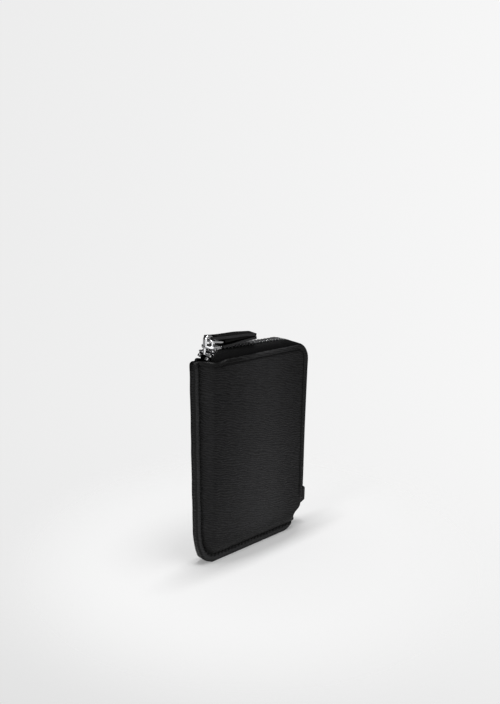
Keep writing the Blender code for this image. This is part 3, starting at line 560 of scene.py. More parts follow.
@dataclass(frozen=True)
class Layout:
    """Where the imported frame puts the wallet's main lines.

    Attributes:
        left: X of the sewn left edge.
        height: Z of the panels' top rim.
        chain_level: Z of the middle of the chain along the top.
    """

    left: float
    height: float
    chain_level: float

    @classmethod
    def read(cls) -> Layout:
        """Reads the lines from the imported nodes."""
        low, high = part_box("front_panel")
        return cls(low.x, high.z, high.z + CHAIN_HEIGHT)

    def place_x(self, x: Array, z: Array) -> Array:
        """World X of a place in wallet measures, with the taper towards the foot."""
        drop = np.clip(1 - z / self.height, 0.0, 1.0)
        return self.left + x * (1 - TAPER_SHARE * drop)

    def point(self, point: Vector) -> Vector:
        """World place of one point in wallet measures."""
        return Vector((float(self.place_x(point.x, point.z)), point.y, point.z))

    def body_half(self, z: Array) -> Array:
        """Half the thickness of the filled body at this height."""
        return BOTTOM_HALF + (TOP_HALF - BOTTOM_HALF) * z / self.height

    def left_side(self, z: Array) -> Array:
        """Left end of the panels at this height."""
        return corner_inset(BOTTOM_LEFT_RADIUS, BOTTOM_LEFT_RADIUS - z)

    def right_side(self, z: Array) -> Array:
        """Right end of the panels at this height, with the notch below the zip's end."""
        low, high = BOTTOM_RIGHT_RADIUS, TOP_RIGHT_RADIUS
        notch = NOTCH_DEPTH * (1 - ease_both((z - low) / (NOTCH_TOP - low)))
        corners = corner_inset(low, low - z) + corner_inset(high, z - self.height + high)
        return PANEL_WIDTH - notch - corners

    def sewn_inset(self, x: Array, z: Array) -> Array:
        """Distance in from the sewn edges, left and bottom, with their round corner."""
        corner = BOTTOM_LEFT_RADIUS
        turned = corner - np.hypot(np.maximum(corner - x, 0.0), np.maximum(corner - z, 0.0))
        return np.where((x < corner) & (z < corner), turned, np.minimum(x, z))

    def foot_share(self, x: Array, z: Array) -> Array:
        """How far round from the left edge, 0, to the bottom edge, 1, a point lies."""
        across = np.maximum(BOTTOM_LEFT_RADIUS - x, 0.0)
        down = np.maximum(BOTTOM_LEFT_RADIUS - z, 0.0)
        return np.arctan2(down, across + 1e-9) / (math.pi / 2)

    def open_inset(self, x: Array, z: Array) -> Array:
        """Distance in from the open edges, top and right, with their round corner."""
        corner = TOP_RIGHT_RADIUS
        across = x - (PANEL_WIDTH - corner)
        up = z - (self.height - corner)
        turned = corner - np.hypot(np.maximum(across, 0.0), np.maximum(up, 0.0))
        straight = np.minimum(self.right_side(z) - x, self.height - z)
        return np.where((across > 0) & (up > 0), turned, straight)

    def seam_half(self, x: Array, z: Array) -> Array:
        """Half thickness of the leather beside the seam, thicker at the foot that it stands on."""
        return SEAM_HALF + (FOOT_SEAM_HALF - SEAM_HALF) * self.foot_share(x, z)

    def filled_half(self, x: Array, z: Array) -> Array:
        """Half thickness of the leather's outer face without its finer forms."""
        swell = ease_out((self.sewn_inset(x, z) - PUFF_START) / PUFF_RAMP)
        edge = self.seam_half(x, z)
        return edge + (self.body_half(z) - edge) * swell

    def half_below(self, x: Array, z: Array, depth: float) -> Array:
        """Half thickness at this depth under the leather's outer face, square to its slope."""
        step = 0.00015
        here = self.filled_half(x, z)
        slope_x = (self.filled_half(x + step, z) - here) / step
        slope_z = (self.filled_half(x, z + step) - here) / step
        return here - depth * np.sqrt(1 + slope_x**2 + slope_z**2)

    def seam_run(self, x: Array, z: Array) -> Array:
        """Length along the stitch line from the top of the left edge, round the corner."""
        corner = BOTTOM_LEFT_RADIUS
        turned = self.foot_share(x, z) * math.pi / 2 * (corner - SEAM_MARGIN)
        below = z < corner
        down = self.height - np.maximum(z, corner)
        return down + np.where(below, turned + np.maximum(x - corner, 0.0), 0.0)


def slab_mesh(name: str, outer: Array, inner: Array) -> bpy.types.Mesh:
    """A closed slab between two grids of points.

    Args:
        name: the mesh's name.
        outer: outer face, rows x columns x 3.
        inner: inner face, of the same shape.

    Returns:
        The mesh, its faces turned outwards.
    """
    rows, columns = outer.shape[:2]
    index = np.arange(rows * columns).reshape(rows, columns)
    shift = rows * columns
    faces: list[tuple[int, ...]] = []
    for r in range(rows - 1):
        for c in range(columns - 1):
            a, b, d, e = index[r, c], index[r, c + 1], index[r + 1, c + 1], index[r + 1, c]
            faces.append((a, b, d, e))
            faces.append((e + shift, d + shift, b + shift, a + shift))
    rim = list(index[0, :]) + list(index[1:, -1]) + list(index[-1, -2::-1]) + list(index[-2:0:-1, 0])
    for a, b in zip(rim, rim[1:] + rim[:1]):
        faces.append((b, a, a + shift, b + shift))
    mesh = bpy.data.meshes.new(name)
    points = np.concatenate([outer.reshape(-1, 3), inner.reshape(-1, 3)])
    mesh.from_pydata(points.tolist(), [], [tuple(int(i) for i in face) for face in faces])
    turn_outwards(mesh)
    return mesh


def made_mesh(work: bmesh.types.BMesh, name: str) -> bpy.types.Mesh:
    """Ends the work on a mesh and names it."""
    mesh = bpy.data.meshes.new(name)
    work.to_mesh(mesh)
    work.free()
    return mesh


def turn_outwards(mesh: bpy.types.Mesh) -> None:
    """Turns all the faces of a closed mesh outwards."""
    work = bmesh.new()
    work.from_mesh(mesh)
    bmesh.ops.recalc_face_normals(work, faces=work.faces)
    if work.calc_volume(signed=True) < 0:
        bmesh.ops.reverse_faces(work, faces=work.faces)
    work.to_mesh(mesh)
    work.free()


def loft_mesh(name: str, rings: Sequence[Sequence[Vector]], closed: bool = False) -> bpy.types.Mesh:
    """A solid through rings of as many points each, with flat caps unless it is closed."""
    work = bmesh.new()
    rows = [[work.verts.new(point) for point in ring] for ring in rings]
    count = len(rows[0])
    pairs = list(zip(rows, rows[1:])) + ([(rows[-1], rows[0])] if closed else [])
    for here, there in pairs:
        for index in range(count):
            after = (index + 1) % count
            work.faces.new((here[index], here[after], there[after], there[index]))
    if not closed:
        work.faces.new(rows[0])
        work.faces.new(rows[-1])
    bmesh.ops.recalc_face_normals(work, faces=work.faces)
    return made_mesh(work, name)


def smooth_path(knots: Sequence[Sequence[float]], count: int, closed: bool = False) -> Array:
    """A smooth curve through knots.

    Args:
        knots: the places that the curve passes, in any number of dimensions.
        count: how many places to return.
        closed: whether the curve runs back to its start.

    Returns:
        The places, as many per gap between knots.
    """
    points = np.array([tuple(knot) for knot in knots], dtype=float)
    total = len(points)
    spots = np.linspace(0, total, count, endpoint=False) if closed else np.linspace(0, total - 1, count)
    base = np.minimum(np.floor(spots).astype(int), total - 1 if closed else total - 2)
    share = (spots - base)[:, None]
    picks = [base + shift for shift in (-1, 0, 1, 2)]
    before, here, there, after = (
        points[pick % total] if closed else points[np.clip(pick, 0, total - 1)] for pick in picks
    )
    square, cube = share**2, share**3
    rise = (there - before) * share + (2 * before - 5 * here + 4 * there - after) * square
    return here + 0.5 * (rise + (3 * here - before - 3 * there + after) * cube)


def superellipse(wide: float, tall: float, count: int, power: float) -> Array:
    """A rounded rectangle as count places around the origin: the lower its power, the squarer."""
    cos, sin = np.cos(full_turn(count)), np.sin(full_turn(count))
    across = wide * np.sign(cos) * abs(cos) ** power
    up = tall * np.sign(sin) * abs(sin) ** power
    return np.stack([across, up], axis=1)


def plate_mesh(
    outline: Array, low: float, high: float, edge: float, crown: Callable | None = None
) -> bpy.types.Mesh:
    """A flat plate with rounded edges.

    Args:
        outline: its closed outline in the XY plane.
        low: Z of its lower face.
        high: Z of its upper face.
        edge: radius of its edges.
        crown: how much higher the upper face stands at an X.

    Returns:
        The mesh.
    """
    after = np.roll(outline, -1, axis=0)
    ahead = after - np.roll(outline, 1, axis=0)
    area = np.sum(outline[:, 0] * after[:, 1] - after[:, 0] * outline[:, 1])
    normal = np.stack([ahead[:, 1], -ahead[:, 0]], axis=1) * np.sign(area)
    normal /= np.maximum(np.linalg.norm(normal, axis=1, keepdims=True), 1e-9)
    turns = np.linspace(0, math.pi / 2, 5)
    lower = [(edge * (1 - math.sin(a)), low + edge * (1 - math.cos(a))) for a in turns]
    upper = [(inset, high - (level - low)) for inset, level in reversed(lower)]
    centre = outline.mean(axis=0)
    shrinks = (0.1, 0.4, 0.7)
    rings = [(centre + (outline - centre) * shrink, low) for shrink in shrinks]
    rings += [(outline - normal * inset, level) for inset, level in lower + upper]
    rings += [(centre + (outline - centre) * shrink, high) for shrink in reversed(shrinks)]
    middle = (low + high) / 2
    solid = [
        [Vector((x, y, level + (crown(x) if crown and level > middle else 0.0))) for x, y in ring]
        for ring, level in rings
    ]
    return loft_mesh("plate", solid)


def block_mesh(low: Sequence[float], high: Sequence[float], edge: float) -> bpy.types.Mesh:
    """A small solid between two corners with rounded edges, such as a clip or a lip."""
    work = bmesh.new()
    bmesh.ops.create_cube(work, size=1.0)
    for vertex in work.verts:
        vertex.co = [a + (b - a) * (share + 0.5) for a, b, share in zip(low, high, vertex.co)]
    bmesh.ops.bevel(work, geom=work.edges[:], offset=edge, segments=3, profile=0.5, affect="EDGES")
    return made_mesh(work, "block")


def merged(name: str, meshes: Sequence[bpy.types.Mesh], place: Matrix | None = None) -> bpy.types.Mesh:
    """One mesh of several, moved to its place."""
    work = bmesh.new()
    for mesh in meshes:
        work.from_mesh(mesh)
    if place is not None:
        work.transform(place)
    return made_mesh(work, name)


def axes(x: Vector, y: Vector, z: Vector) -> Matrix:
    """The turn that carries the axes to these directions."""
    return Matrix((x, y, z)).transposed().to_4x4()


def mirrored(half: Sequence[tuple[float, float]]) -> list[tuple[float, float]]:
    """A closed outline from its half at +Y."""
    return list(half) + [(x, -y) for x, y in reversed(half)]


def linked(name: str, data: bpy.types.ID) -> Piece:
    """A new object in the scene."""
    thing = bpy.data.objects.new(name, data)
    bpy.context.scene.collection.objects.link(thing)
    return thing


def add_piece(name: str, mesh: bpy.types.Mesh, finish: Material, smooth: float = 40.0) -> Piece:
    """Adds a mesh to the scene as a piece with one finish, smooth below an angle in degrees."""
    mesh.name = name
    mesh.materials.clear()
    mesh.materials.append(finish)
    mesh.shade_smooth()
    mesh.set_sharp_from_angle(angle=math.radians(smooth))
    return linked(name, mesh)


def applied(piece: Piece) -> Piece:
    """Turns a piece with modifiers into a plain mesh at the origin, unturned and unscaled."""
    bpy.context.view_layer.update()
    graph = bpy.context.evaluated_depsgraph_get()
    mesh = bpy.data.meshes.new_from_object(piece.evaluated_get(graph))
    mesh.transform(piece.matrix_world)
    piece.modifiers.clear()
    piece.data = mesh
    piece.matrix_world = Matrix.Identity(4)
    return piece


def settle(piece: Piece, body: str, slot: str, *nodes: str) -> Piece:
    """Lets a finished piece ride on a body and stand for its nodes."""
    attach(piece, body)
    if nodes:
        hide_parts(*nodes)
    faces = len(piece.data.polygons)
    LOG.info("%s on %s: %d faces, stands for %s", piece.name, body, faces, nodes or "a detail")
    return piece


class Graph:
    """A short way to write node trees."""

    def __init__(self, tree: bpy.types.NodeTree) -> None:
        """Takes the tree to write."""
        self.tree = tree

    def add(self, kind: str, values: dict | None = None, **settings) -> bpy.types.Node:
        """Adds a node.

        Args:
            kind: the node's type name.
            values: its inputs by name or number, each a constant or a socket to link from.
            **settings: its properties.

        Returns:
            The node.
        """
        node = self.tree.nodes.new(kind)
        for key, value in settings.items():
            setattr(node, key, value)
        self.feed(node, values or {})
        return node

    def feed(self, node: bpy.types.Node, values: dict) -> None:
        """Sets a node's inputs by name or number, each to a constant or from a socket."""
        for key, value in values.items():
            if isinstance(value, bpy.types.NodeSocket):
                self.tree.links.new(value, node.inputs[key])
            else:
                node.inputs[key].default_value = value

    def math(self, operation: str, first, second=0.0, third=0.0) -> bpy.types.NodeSocket:
        """Adds a Math node and returns its result."""
        values = {0: first, 1: second, 2: third}
        return self.add("ShaderNodeMath", values, operation=operation).outputs[0]


def new_group(
    name: str, inputs: dict[str, float], outputs: Sequence[str]
) -> tuple[Graph, dict, bpy.types.Node]:
    """Starts a shader node group.

    Args:
        name: the group's name.
        inputs: its number inputs and their defaults.
        outputs: its number outputs.

    Returns:
        The graph, the input sockets by name, and the output node.
    """
    tree = bpy.data.node_groups.new(name, "ShaderNodeTree")
    for label, value in inputs.items():
        socket = tree.interface.new_socket(name=label, in_out="INPUT", socket_type="NodeSocketFloat")
        socket.default_value = value
    for label in outputs:
        tree.interface.new_socket(name=label, in_out="OUTPUT", socket_type="NodeSocketFloat")
    graph = Graph(tree)
    start = tree.nodes.new("NodeGroupInput")
    end = tree.nodes.new("NodeGroupOutput")
    return graph, {socket.name: socket for socket in start.outputs}, end


class Effects:
    """Shader node groups that several finishes share."""

    def __init__(self) -> None:
        """Makes the groups."""
        self.grain = self._grain()
        self.weave = self._weave()
        self.wear = self._wear()

    @staticmethod
    def _grain() -> bpy.types.NodeTree:
        """Fine wavy creases along X, over small pebbles: the height and tone of pressed leather, with painted
        light and shade added to the tone.
        """
        graph, inputs, end = new_group(
            "pressed_grain", {"Creases": 1.0, "Pebbles": 1.0, "Fineness": 1.0}, ["Height", "Tone"]
        )
        line = graph.add("ShaderNodeAttribute", attribute_name="line").outputs["Fac"]
        coordinates = graph.add("ShaderNodeTexCoord").outputs["Object"]
        drift = graph.add("ShaderNodeTexNoise", {"Vector": coordinates, "Scale": 120.0, "Detail": 2.0})
        lift = graph.add(
            "ShaderNodeVectorMath", {0: drift.outputs["Color"], 1: (0.5, 0.5, 0.5)}, operation="SUBTRACT"
        )
        bent = graph.add(
            "ShaderNodeVectorMath", {0: lift.outputs[0], 1: GRAIN_DRIFT}, operation="MULTIPLY"
        )
        moved = graph.add("ShaderNodeVectorMath", {0: coordinates, 1: bent.outputs[0]}, operation="ADD")
        turned = graph.add(
            "ShaderNodeVectorRotate", {"Vector": moved.outputs[0], "Angle": GRAIN_TURN},
            rotation_type="Y_AXIS",
        )
        stretched = graph.add(
            "ShaderNodeVectorMath", {0: turned.outputs[0], 1: GRAIN_STRETCH}, operation="MULTIPLY"
        )
        pitches = 2 * math.pi / (WAVE_FACTOR * GRAIN_PITCH)
        lines = graph.add(
            "ShaderNodeTexWave",
            {
                "Vector": stretched.outputs[0],
                "Scale": graph.math("MULTIPLY", inputs["Fineness"], pitches),
                "Distortion": 7.0, "Detail": 2.5, "Detail Scale": 0.9, "Detail Roughness": 0.6,
            },
            wave_type="BANDS", bands_direction="Z",
        )
        scale = graph.math("MULTIPLY", inputs["Fineness"], GRAIN_FINE_SCALE)
        fine = graph.add(
            "ShaderNodeTexNoise", {"Vector": stretched.outputs[0], "Scale": scale, "Detail": 2.5}
        )
        denser = graph.math("MULTIPLY", scale, GRAIN_PEBBLE_RATIO)
        pebble = graph.add("ShaderNodeTexVoronoi", {"Vector": moved.outputs[0], "Scale": denser})
        clouds = graph.add("ShaderNodeTexNoise", {"Vector": coordinates, "Scale": 45.0, "Detail": 3.0})
        weighed = graph.math("MULTIPLY", fine.outputs["Fac"], GRAIN_FINE)
        mixed = graph.math("MULTIPLY_ADD", lines.outputs["Fac"], GRAIN_LINES, weighed)
        creases = graph.math("MULTIPLY", mixed, inputs["Creases"])
        pebbles = graph.math("MULTIPLY", pebble.outputs["Distance"], inputs["Pebbles"])
        height = graph.math("MULTIPLY_ADD", pebbles, GRAIN_PEBBLES, creases)
        sharp = graph.math("MULTIPLY_ADD", mixed, GRAIN_TONE_GAIN, GRAIN_TONE_SHIFT)
        sharp = graph.math("MULTIPLY", sharp, inputs["Creases"])
        tone = graph.math("MULTIPLY_ADD", clouds.outputs["Fac"], GRAIN_CLOUDS, sharp)
        # Adds the painted light and shade of the line attribute to the tone.
        tone = graph.math("MULTIPLY_ADD", line, PAINTED_LIGHT_WEIGHT, tone)
        graph.feed(end, {"Height": height, "Tone": tone})
        return graph.tree

    @staticmethod
    def _weave() -> bpy.types.NodeTree:
        """A woven ribbon: ribs across its length, crossed by finer yarns, from its UV in millimetres."""
        graph, inputs, end = new_group("ribbon_weave", {"Ribs": 1.0, "Yarns": 1.0}, ["Height", "Tone"])
        uv = graph.add("ShaderNodeUVMap", uv_map="ribbon").outputs["UV"]
        split = graph.add("ShaderNodeSeparateXYZ", {"Vector": uv})
        rib_wave = graph.math("SINE", graph.math("MULTIPLY", split.outputs["X"], 2 * math.pi / RIB_LENGTH))
        yarn = graph.math("FLOOR", graph.math("DIVIDE", split.outputs["Y"], YARN_WIDTH))
        half_turn = graph.math("MULTIPLY", yarn, math.pi)
        along = graph.math("MULTIPLY_ADD", split.outputs["X"], 2 * math.pi / YARN_LENGTH, half_turn)
        yarn_wave = graph.math("SINE", along)
        across = graph.math("SINE", graph.math("MULTIPLY", split.outputs["Y"], 2 * math.pi / YARN_WIDTH))
        ribs = graph.math("MULTIPLY", rib_wave, graph.math("MULTIPLY", inputs["Ribs"], RIB_SHARE))
        crossed = graph.math("MULTIPLY_ADD", yarn_wave, YARN_ALONG_SHARE, across)
        yarns = graph.math("MULTIPLY", crossed, inputs["Yarns"])
        height = graph.math("MULTIPLY_ADD", yarns, YARN_SHARE, ribs)
        tone = graph.math("MULTIPLY_ADD", height, WEAVE_TONE_GAIN, WEAVE_TONE)
        graph.feed(end, {"Height": height, "Tone": tone})
        return graph.tree

    @staticmethod
    def _wear() -> bpy.types.NodeTree:
        """Handling marks on plated metal: faint scratches and smudges."""
        graph, inputs, end = new_group("handled_metal", {"Marks": 1.0}, ["Height", "Smudge"])
        coordinates = graph.add("ShaderNodeTexCoord").outputs["Object"]
        stretched = graph.add(
            "ShaderNodeVectorMath", {0: coordinates, 1: (1.0, 6.0, 2.5)}, operation="MULTIPLY"
        )
        marks = graph.add(
            "ShaderNodeTexNoise", {"Vector": stretched.outputs[0], "Scale": 900.0, "Detail": 4.0}
        )
        smudge = graph.add("ShaderNodeTexNoise", {"Vector": coordinates, "Scale": 260.0, "Detail": 2.0})
        height = graph.math("MULTIPLY", marks.outputs["Fac"], inputs["Marks"])
        graph.feed(end, {"Height": height, "Smudge": smudge.outputs["Fac"]})
        return graph.tree


@dataclass(frozen=True)
class Finish:
    """A procedural finish.

    Attributes:
        name: the material's name.
        dark: colour in the hollows and where shade is painted, linear.
        light: colour on the heights and where highlight is painted; the plain colour of metal.
        roughness: lowest and highest roughness.
        bump: height of the relief, in metres.
    """

    name: str
    dark: tuple[float, float, float]
    light: tuple[float, float, float]
    roughness: tuple[float, float]
    bump: float

    def start(self) -> tuple[Material, Graph, bpy.types.Node]:
        """Makes an empty material with its shader."""
        material = bpy.data.materials.new(self.name)
        material.use_nodes = True
        graph = Graph(material.node_tree)
        return material, graph, material.node_tree.nodes["Principled BSDF"]

    def connect(self, graph: Graph, shader: bpy.types.Node, group: bpy.types.Node) -> None:
        """Drives colour, roughness and bump from a group's Height and Tone."""
        tone = group.outputs["Tone"]
        blend = graph.add(
            "ShaderNodeMix", {0: tone, 6: (*self.dark, 1.0), 7: (*self.light, 1.0)}, data_type="RGBA"
        )
        low, high = self.roughness
        rough = graph.math("MULTIPLY_ADD", tone, high - low, low)
        bump = graph.add("ShaderNodeBump", {"Height": group.outputs["Height"], "Distance": self.bump})
        graph.feed(
            shader, {"Base Color": blend.outputs[2], "Roughness": rough, "Normal": bump.outputs["Normal"]}
        )


@dataclass(frozen=True)
class LeatherFinish(Finish):
    """Pressed, dyed leather."""

    creases: float = 1.0
    pebbles: float = 1.0
    fineness: float = 1.0
    coat: float = 0.03

    def make(self, effects: Effects) -> Material:
        """Makes the material."""
        material, graph, shader = self.start()
        values = {"Creases": self.creases, "Pebbles": self.pebbles, "Fineness": self.fineness}
        group = graph.add("ShaderNodeGroup", values, node_tree=effects.grain)
        self.connect(graph, shader, group)
        graph.feed(shader, {"Specular IOR Level": 0.15, "Coat Weight": self.coat, "Coat Roughness": 0.35})
        return material


@dataclass(frozen=True)
class WovenFinish(Finish):
    """Woven ribbon or cloth with a soft sheen."""

    ribs: float = 1.0
    yarns: float = 1.0
    sheen: float = 0.25

    def make(self, effects: Effects) -> Material:
        """Makes the material."""
        material, graph, shader = self.start()
        values = {"Ribs": self.ribs, "Yarns": self.yarns}
        group = graph.add("ShaderNodeGroup", values, node_tree=effects.weave)
        self.connect(graph, shader, group)
        graph.feed(shader, {"Specular IOR Level": 0.15, "Sheen Weight": self.sheen, "Sheen Roughness": 0.4})
        return material


@dataclass(frozen=True)
class MetalFinish(Finish):
    """Plated metal with faint marks of handling."""

    def make(self, effects: Effects) -> Material:
        """Makes the material."""
        material, graph, shader = self.start()
        group = graph.add("ShaderNodeGroup", node_tree=effects.wear)
        bump = graph.add("ShaderNodeBump", {"Height": group.outputs["Height"], "Distance": self.bump})
        # Painted shade: where the teeth's end attribute is 1, the colour turns dark.
        dull = graph.add("ShaderNodeAttribute", attribute_name="dull").outputs["Fac"]
        blend = graph.add(
            "ShaderNodeMix", {0: dull, 6: (*self.light, 1.0), 7: (*self.dark, 1.0)}, data_type="RGBA"
        )
        low, high = self.roughness
        rough = graph.math("MULTIPLY_ADD", group.outputs["Smudge"], high - low, low)
        graph.feed(
            shader,
            {
                "Base Color": blend.outputs[2], "Roughness": rough, "Normal": bump.outputs["Normal"],
                "Metallic": 1.0,
            },
        )
        return material


class Finishes:
    """Every finish that the wallet wears."""

    def __init__(self) -> None:
        """Makes the materials."""
        effects = Effects()
        self.panel = LeatherFinish(
            "black_leather", dark=(0.002, 0.002, 0.0022), light=(0.0365, 0.0365, 0.0378),
            roughness=(0.52, 0.62), bump=0.00034,
        ).make(effects)
        self.edge = LeatherFinish(
            "edge_leather", dark=(0.002, 0.002, 0.0022), light=(0.048, 0.048, 0.050),
            roughness=(0.45, 0.55), bump=0.00012, creases=0.5, fineness=1.4, coat=0.04,
        ).make(effects)
        self.thread = WovenFinish(
            "black_thread", dark=(0.0015, 0.0015, 0.0015), light=(0.006, 0.006, 0.006),
            roughness=(0.6, 0.8), bump=0.00003, sheen=0.02,
        ).make(effects)
        self.tape = WovenFinish(
            "black_tape", dark=(0.002, 0.002, 0.0022), light=(0.006, 0.006, 0.0065),
            roughness=(0.65, 0.85), bump=0.00007, sheen=0.02,
        ).make(effects)
        self.lining = WovenFinish(
            "lining_cloth", dark=(0.012, 0.012, 0.013), light=(0.035, 0.035, 0.037),
            roughness=(0.75, 0.95), bump=0.00005, sheen=0.1,
        ).make(effects)
        self.board = LeatherFinish(
            "grey_board", dark=(0.12, 0.115, 0.11), light=(0.26, 0.25, 0.24),
            roughness=(0.8, 0.95), bump=0.00003, coat=0.0,
        ).make(effects)
        self.teeth = MetalFinish(
            "zip_metal", dark=(0.03, 0.03, 0.031), light=(0.62, 0.62, 0.63),
            roughness=(0.2, 0.38), bump=0.000008,
        ).make(effects)
        self.slider = MetalFinish(
            "slider_metal", dark=(0.05, 0.05, 0.052), light=(0.78, 0.78, 0.79),
            roughness=(0.1, 0.26), bump=0.000005,
        ).make(effects)


class Scatter:
    """A Geometry Nodes tool that sets copies of one item on placed points and makes them one mesh."""

    TURN = "turn"

    def __init__(self) -> None:
        """Writes the tool's node tree."""
        self.tree = bpy.data.node_groups.new("set_items", "GeometryNodeTree")
        sockets = (
            ("Points", "INPUT", "NodeSocketGeometry"),
            ("Item", "INPUT", "NodeSocketObject"),
            ("Finish", "INPUT", "NodeSocketMaterial"),
            ("Wobble", "INPUT", "NodeSocketFloat"),
            ("Seed", "INPUT", "NodeSocketInt"),
            ("Mesh", "OUTPUT", "NodeSocketGeometry"),
        )
        self.sockets = {
            name: self.tree.interface.new_socket(name=name, in_out=way, socket_type=kind).identifier
            for name, way, kind in sockets
        }
        graph = Graph(self.tree)
        start = self.tree.nodes.new("NodeGroupInput").outputs
        end = self.tree.nodes.new("NodeGroupOutput")
        item = graph.add("GeometryNodeObjectInfo", {"Object": start["Item"]})
        turn = graph.add("GeometryNodeInputNamedAttribute", {"Name": self.TURN}, data_type="QUATERNION")
        less = graph.add("ShaderNodeMath", {0: start["Wobble"], 1: -1.0}, operation="MULTIPLY").outputs[0]
        low = graph.add("ShaderNodeCombineXYZ", {"X": less, "Y": less, "Z": less}).outputs[0]
        high = graph.add(
            "ShaderNodeCombineXYZ", {"X": start["Wobble"], "Y": start["Wobble"], "Z": start["Wobble"]}
        ).outputs[0]
        dice = graph.add(
            "FunctionNodeRandomValue", {"Min": low, "Max": high, "Seed": start["Seed"]},
            data_type="FLOAT_VECTOR",
        )
        shake = graph.add("FunctionNodeEulerToRotation", {"Euler": dice.outputs["Value"]})
        rotation = graph.add(
            "FunctionNodeRotateRotation",
            {"Rotation": turn.outputs["Attribute"], "Rotate By": shake.outputs["Rotation"]},
            rotation_space="LOCAL",
        )
        copies = graph.add(
            "GeometryNodeInstanceOnPoints",
            {
                "Points": start["Points"],
                "Instance": item.outputs["Geometry"],
                "Rotation": rotation.outputs["Rotation"],
            },
        )
        real = graph.add("GeometryNodeRealizeInstances", {"Geometry": copies.outputs["Instances"]})
        dressed = graph.add(
            "GeometryNodeSetMaterial", {"Geometry": real.outputs["Geometry"], "Material": start["Finish"]}
        )
        graph.feed(end, {"Mesh": dressed.outputs["Geometry"]})

    def run(
        self, name: str, places: Sequence[Matrix], item: bpy.types.Mesh, finish: Material,
        wobble: float = 0.0, seed: int = 1,
    ) -> Piece:
        """Sets an item on every place.

        Args:
            name: the new piece's name.
            places: where each copy goes, as matrices without scale.
            item: the mesh to copy.
            finish: the material of all copies.
            wobble: how far each copy may be turned at random, in radians.
            seed: the random seed.

        Returns:
            One plain mesh piece.
        """
        cloud = bpy.data.meshes.new(name)
        cloud.from_pydata([place.to_translation() for place in places], [], [])
        turns = cloud.attributes.new(self.TURN, "QUATERNION", "POINT")
        for slot, place in zip(turns.data, places):
            slot.value = place.to_quaternion()
        holder, model = linked(name, cloud), linked("item", item)
        tool = holder.modifiers.new("set_items", "NODES")
        tool.node_group = self.tree
        tool[self.sockets["Item"]] = model
        tool[self.sockets["Finish"]] = finish
        tool[self.sockets["Wobble"]] = wobble
        tool[self.sockets["Seed"]] = seed
        bpy.context.view_layer.update()
        graph = bpy.context.evaluated_depsgraph_get()
        mesh = bpy.data.meshes.new_from_object(holder.evaluated_get(graph))
        for made in (holder, model):
            bpy.data.objects.remove(made, do_unlink=True)
        return add_piece(name, mesh, finish)


@dataclass
class Chain:
    """The zip's path: where each row runs, parts and dives.

    Attributes:
        layout: the wallet's main lines.
    """

    layout: Layout

    def __post_init__(self) -> None:
        """Works out the length and bend of each leg, from where the slider closes the chain."""
        slope, turn = CHAIN_SLOPE, BEND_TURN
        bend_arc = BEND_RADIUS * (turn - slope)
        corner_arc = CORNER_RADIUS * (math.pi / 2 - turn)
        width = BEND_RADIUS * (math.sin(turn) - math.sin(slope)) + BEND_RUN * math.cos(turn)
        width += CORNER_RADIUS * (1 - math.sin(turn))
        fall = BEND_RADIUS * (math.cos(slope) - math.cos(turn)) + BEND_RUN * math.sin(turn)
        fall += CORNER_RADIUS * math.cos(turn)
        self.mesh_x = SLIDER_PLACE + MESH_POINT
        self.top_run = (PANEL_WIDTH + CHAIN_SIDE_HEIGHT - self.mesh_x - width) / math.cos(slope)
        side_top = self.layout.chain_level - self.top_run * math.sin(slope) - fall
        self.arc_run = bend_arc + BEND_RUN + corner_arc
        self.chain_run = self.top_run + self.arc_run + side_top - CHAIN_FOOT
        self.tape_run = self.top_run + self.arc_run + side_top - TAPE_FOOT
        self.closed_legs = (
            (self.top_run, 0.0), (bend_arc, 1 / BEND_RADIUS), (BEND_RUN, 0.0),
            (corner_arc, 1 / CORNER_RADIUS), (side_top, 0.0),
        )
        self.parted_legs = ((DIVE_START, 0.0), (DIVE_LENGTH, DIVE_ANGLE / DIVE_LENGTH), (ROW_END, 0.0))

    def middle(self, run: float) -> tuple[Vector, Vector]:
        """Finds the middle of the chain at one run.

        Args:
            run: length along the chain from where the slider has closed it. Below 0 the rows part.

        Returns:
            The place in wallet measures and the outward direction.
        """
        way = 1 if run > 0 else -1
        left, turn = abs(run), CHAIN_SLOPE
        x, z = self.mesh_x, self.layout.chain_level
        for length, bend in self.closed_legs if run > 0 else self.parted_legs:
            step = min(left, length)
            end = turn + way * bend * step
            if bend:
                x += (math.sin(end) - math.sin(turn)) / bend
                z += (math.cos(end) - math.cos(turn)) / bend
            else:
                x += way * step * math.cos(turn)
                z -= way * step * math.sin(turn)
            left -= step
            turn = end
        return Vector((x, 0.0, z)), Vector((math.sin(turn), 0.0, math.cos(turn)))

    @staticmethod
    def offset(run: float) -> float:
        """How far each row has moved out from the middle at this run."""
        return PART_SPREAD * float(ease_both(-run / PART_LENGTH))

    def frame(self, run: float, side: Side) -> Matrix:
        """A row's frame at this run: X away from the middle, Y along the row, Z outwards."""
        sign = side.value
        ahead, behind = run + ROW_STEP, run - ROW_STEP
        place, out = self.middle(run)
        place = place + Vector((0.0, sign * self.offset(run), 0.0))
        along = self.middle(ahead)[0] - self.middle(behind)[0]
        along.y = sign * (self.offset(ahead) - self.offset(behind)) * PART_TURN_SHARE
        along.normalize()
        out = (out - along * out.dot(along)).normalized()
        across = out.cross(along)
        if across.y * sign < 0:
            across = -across
        roll = PART_ROLL * self.offset(run) / PART_SPREAD
        tipped = across * math.cos(roll) - out * math.sin(roll)
        raised = out * math.cos(roll) + across * math.sin(roll)
        return Matrix.Translation(self.layout.point(place)) @ axes(tipped, raised.cross(tipped), raised)

    def tooth_runs(self, side: Side) -> list[float]:
        """Runs of the middles of one row's teeth: the two rows stand half a pitch apart."""
        shift = CHAIN_PHASE + (TOOTH_PITCH / 2 if side is Side.BACK else 0.0)
        first = -math.floor((ROW_END - TOOTH_HALF_THICKNESS - CORD_TAIL + shift) / TOOTH_PITCH)
        last = math.floor((self.chain_run - TOOTH_HALF_THICKNESS - CORD_TAIL - shift) / TOOTH_PITCH)
        return [index * TOOTH_PITCH + shift for index in range(first, last + 1)]


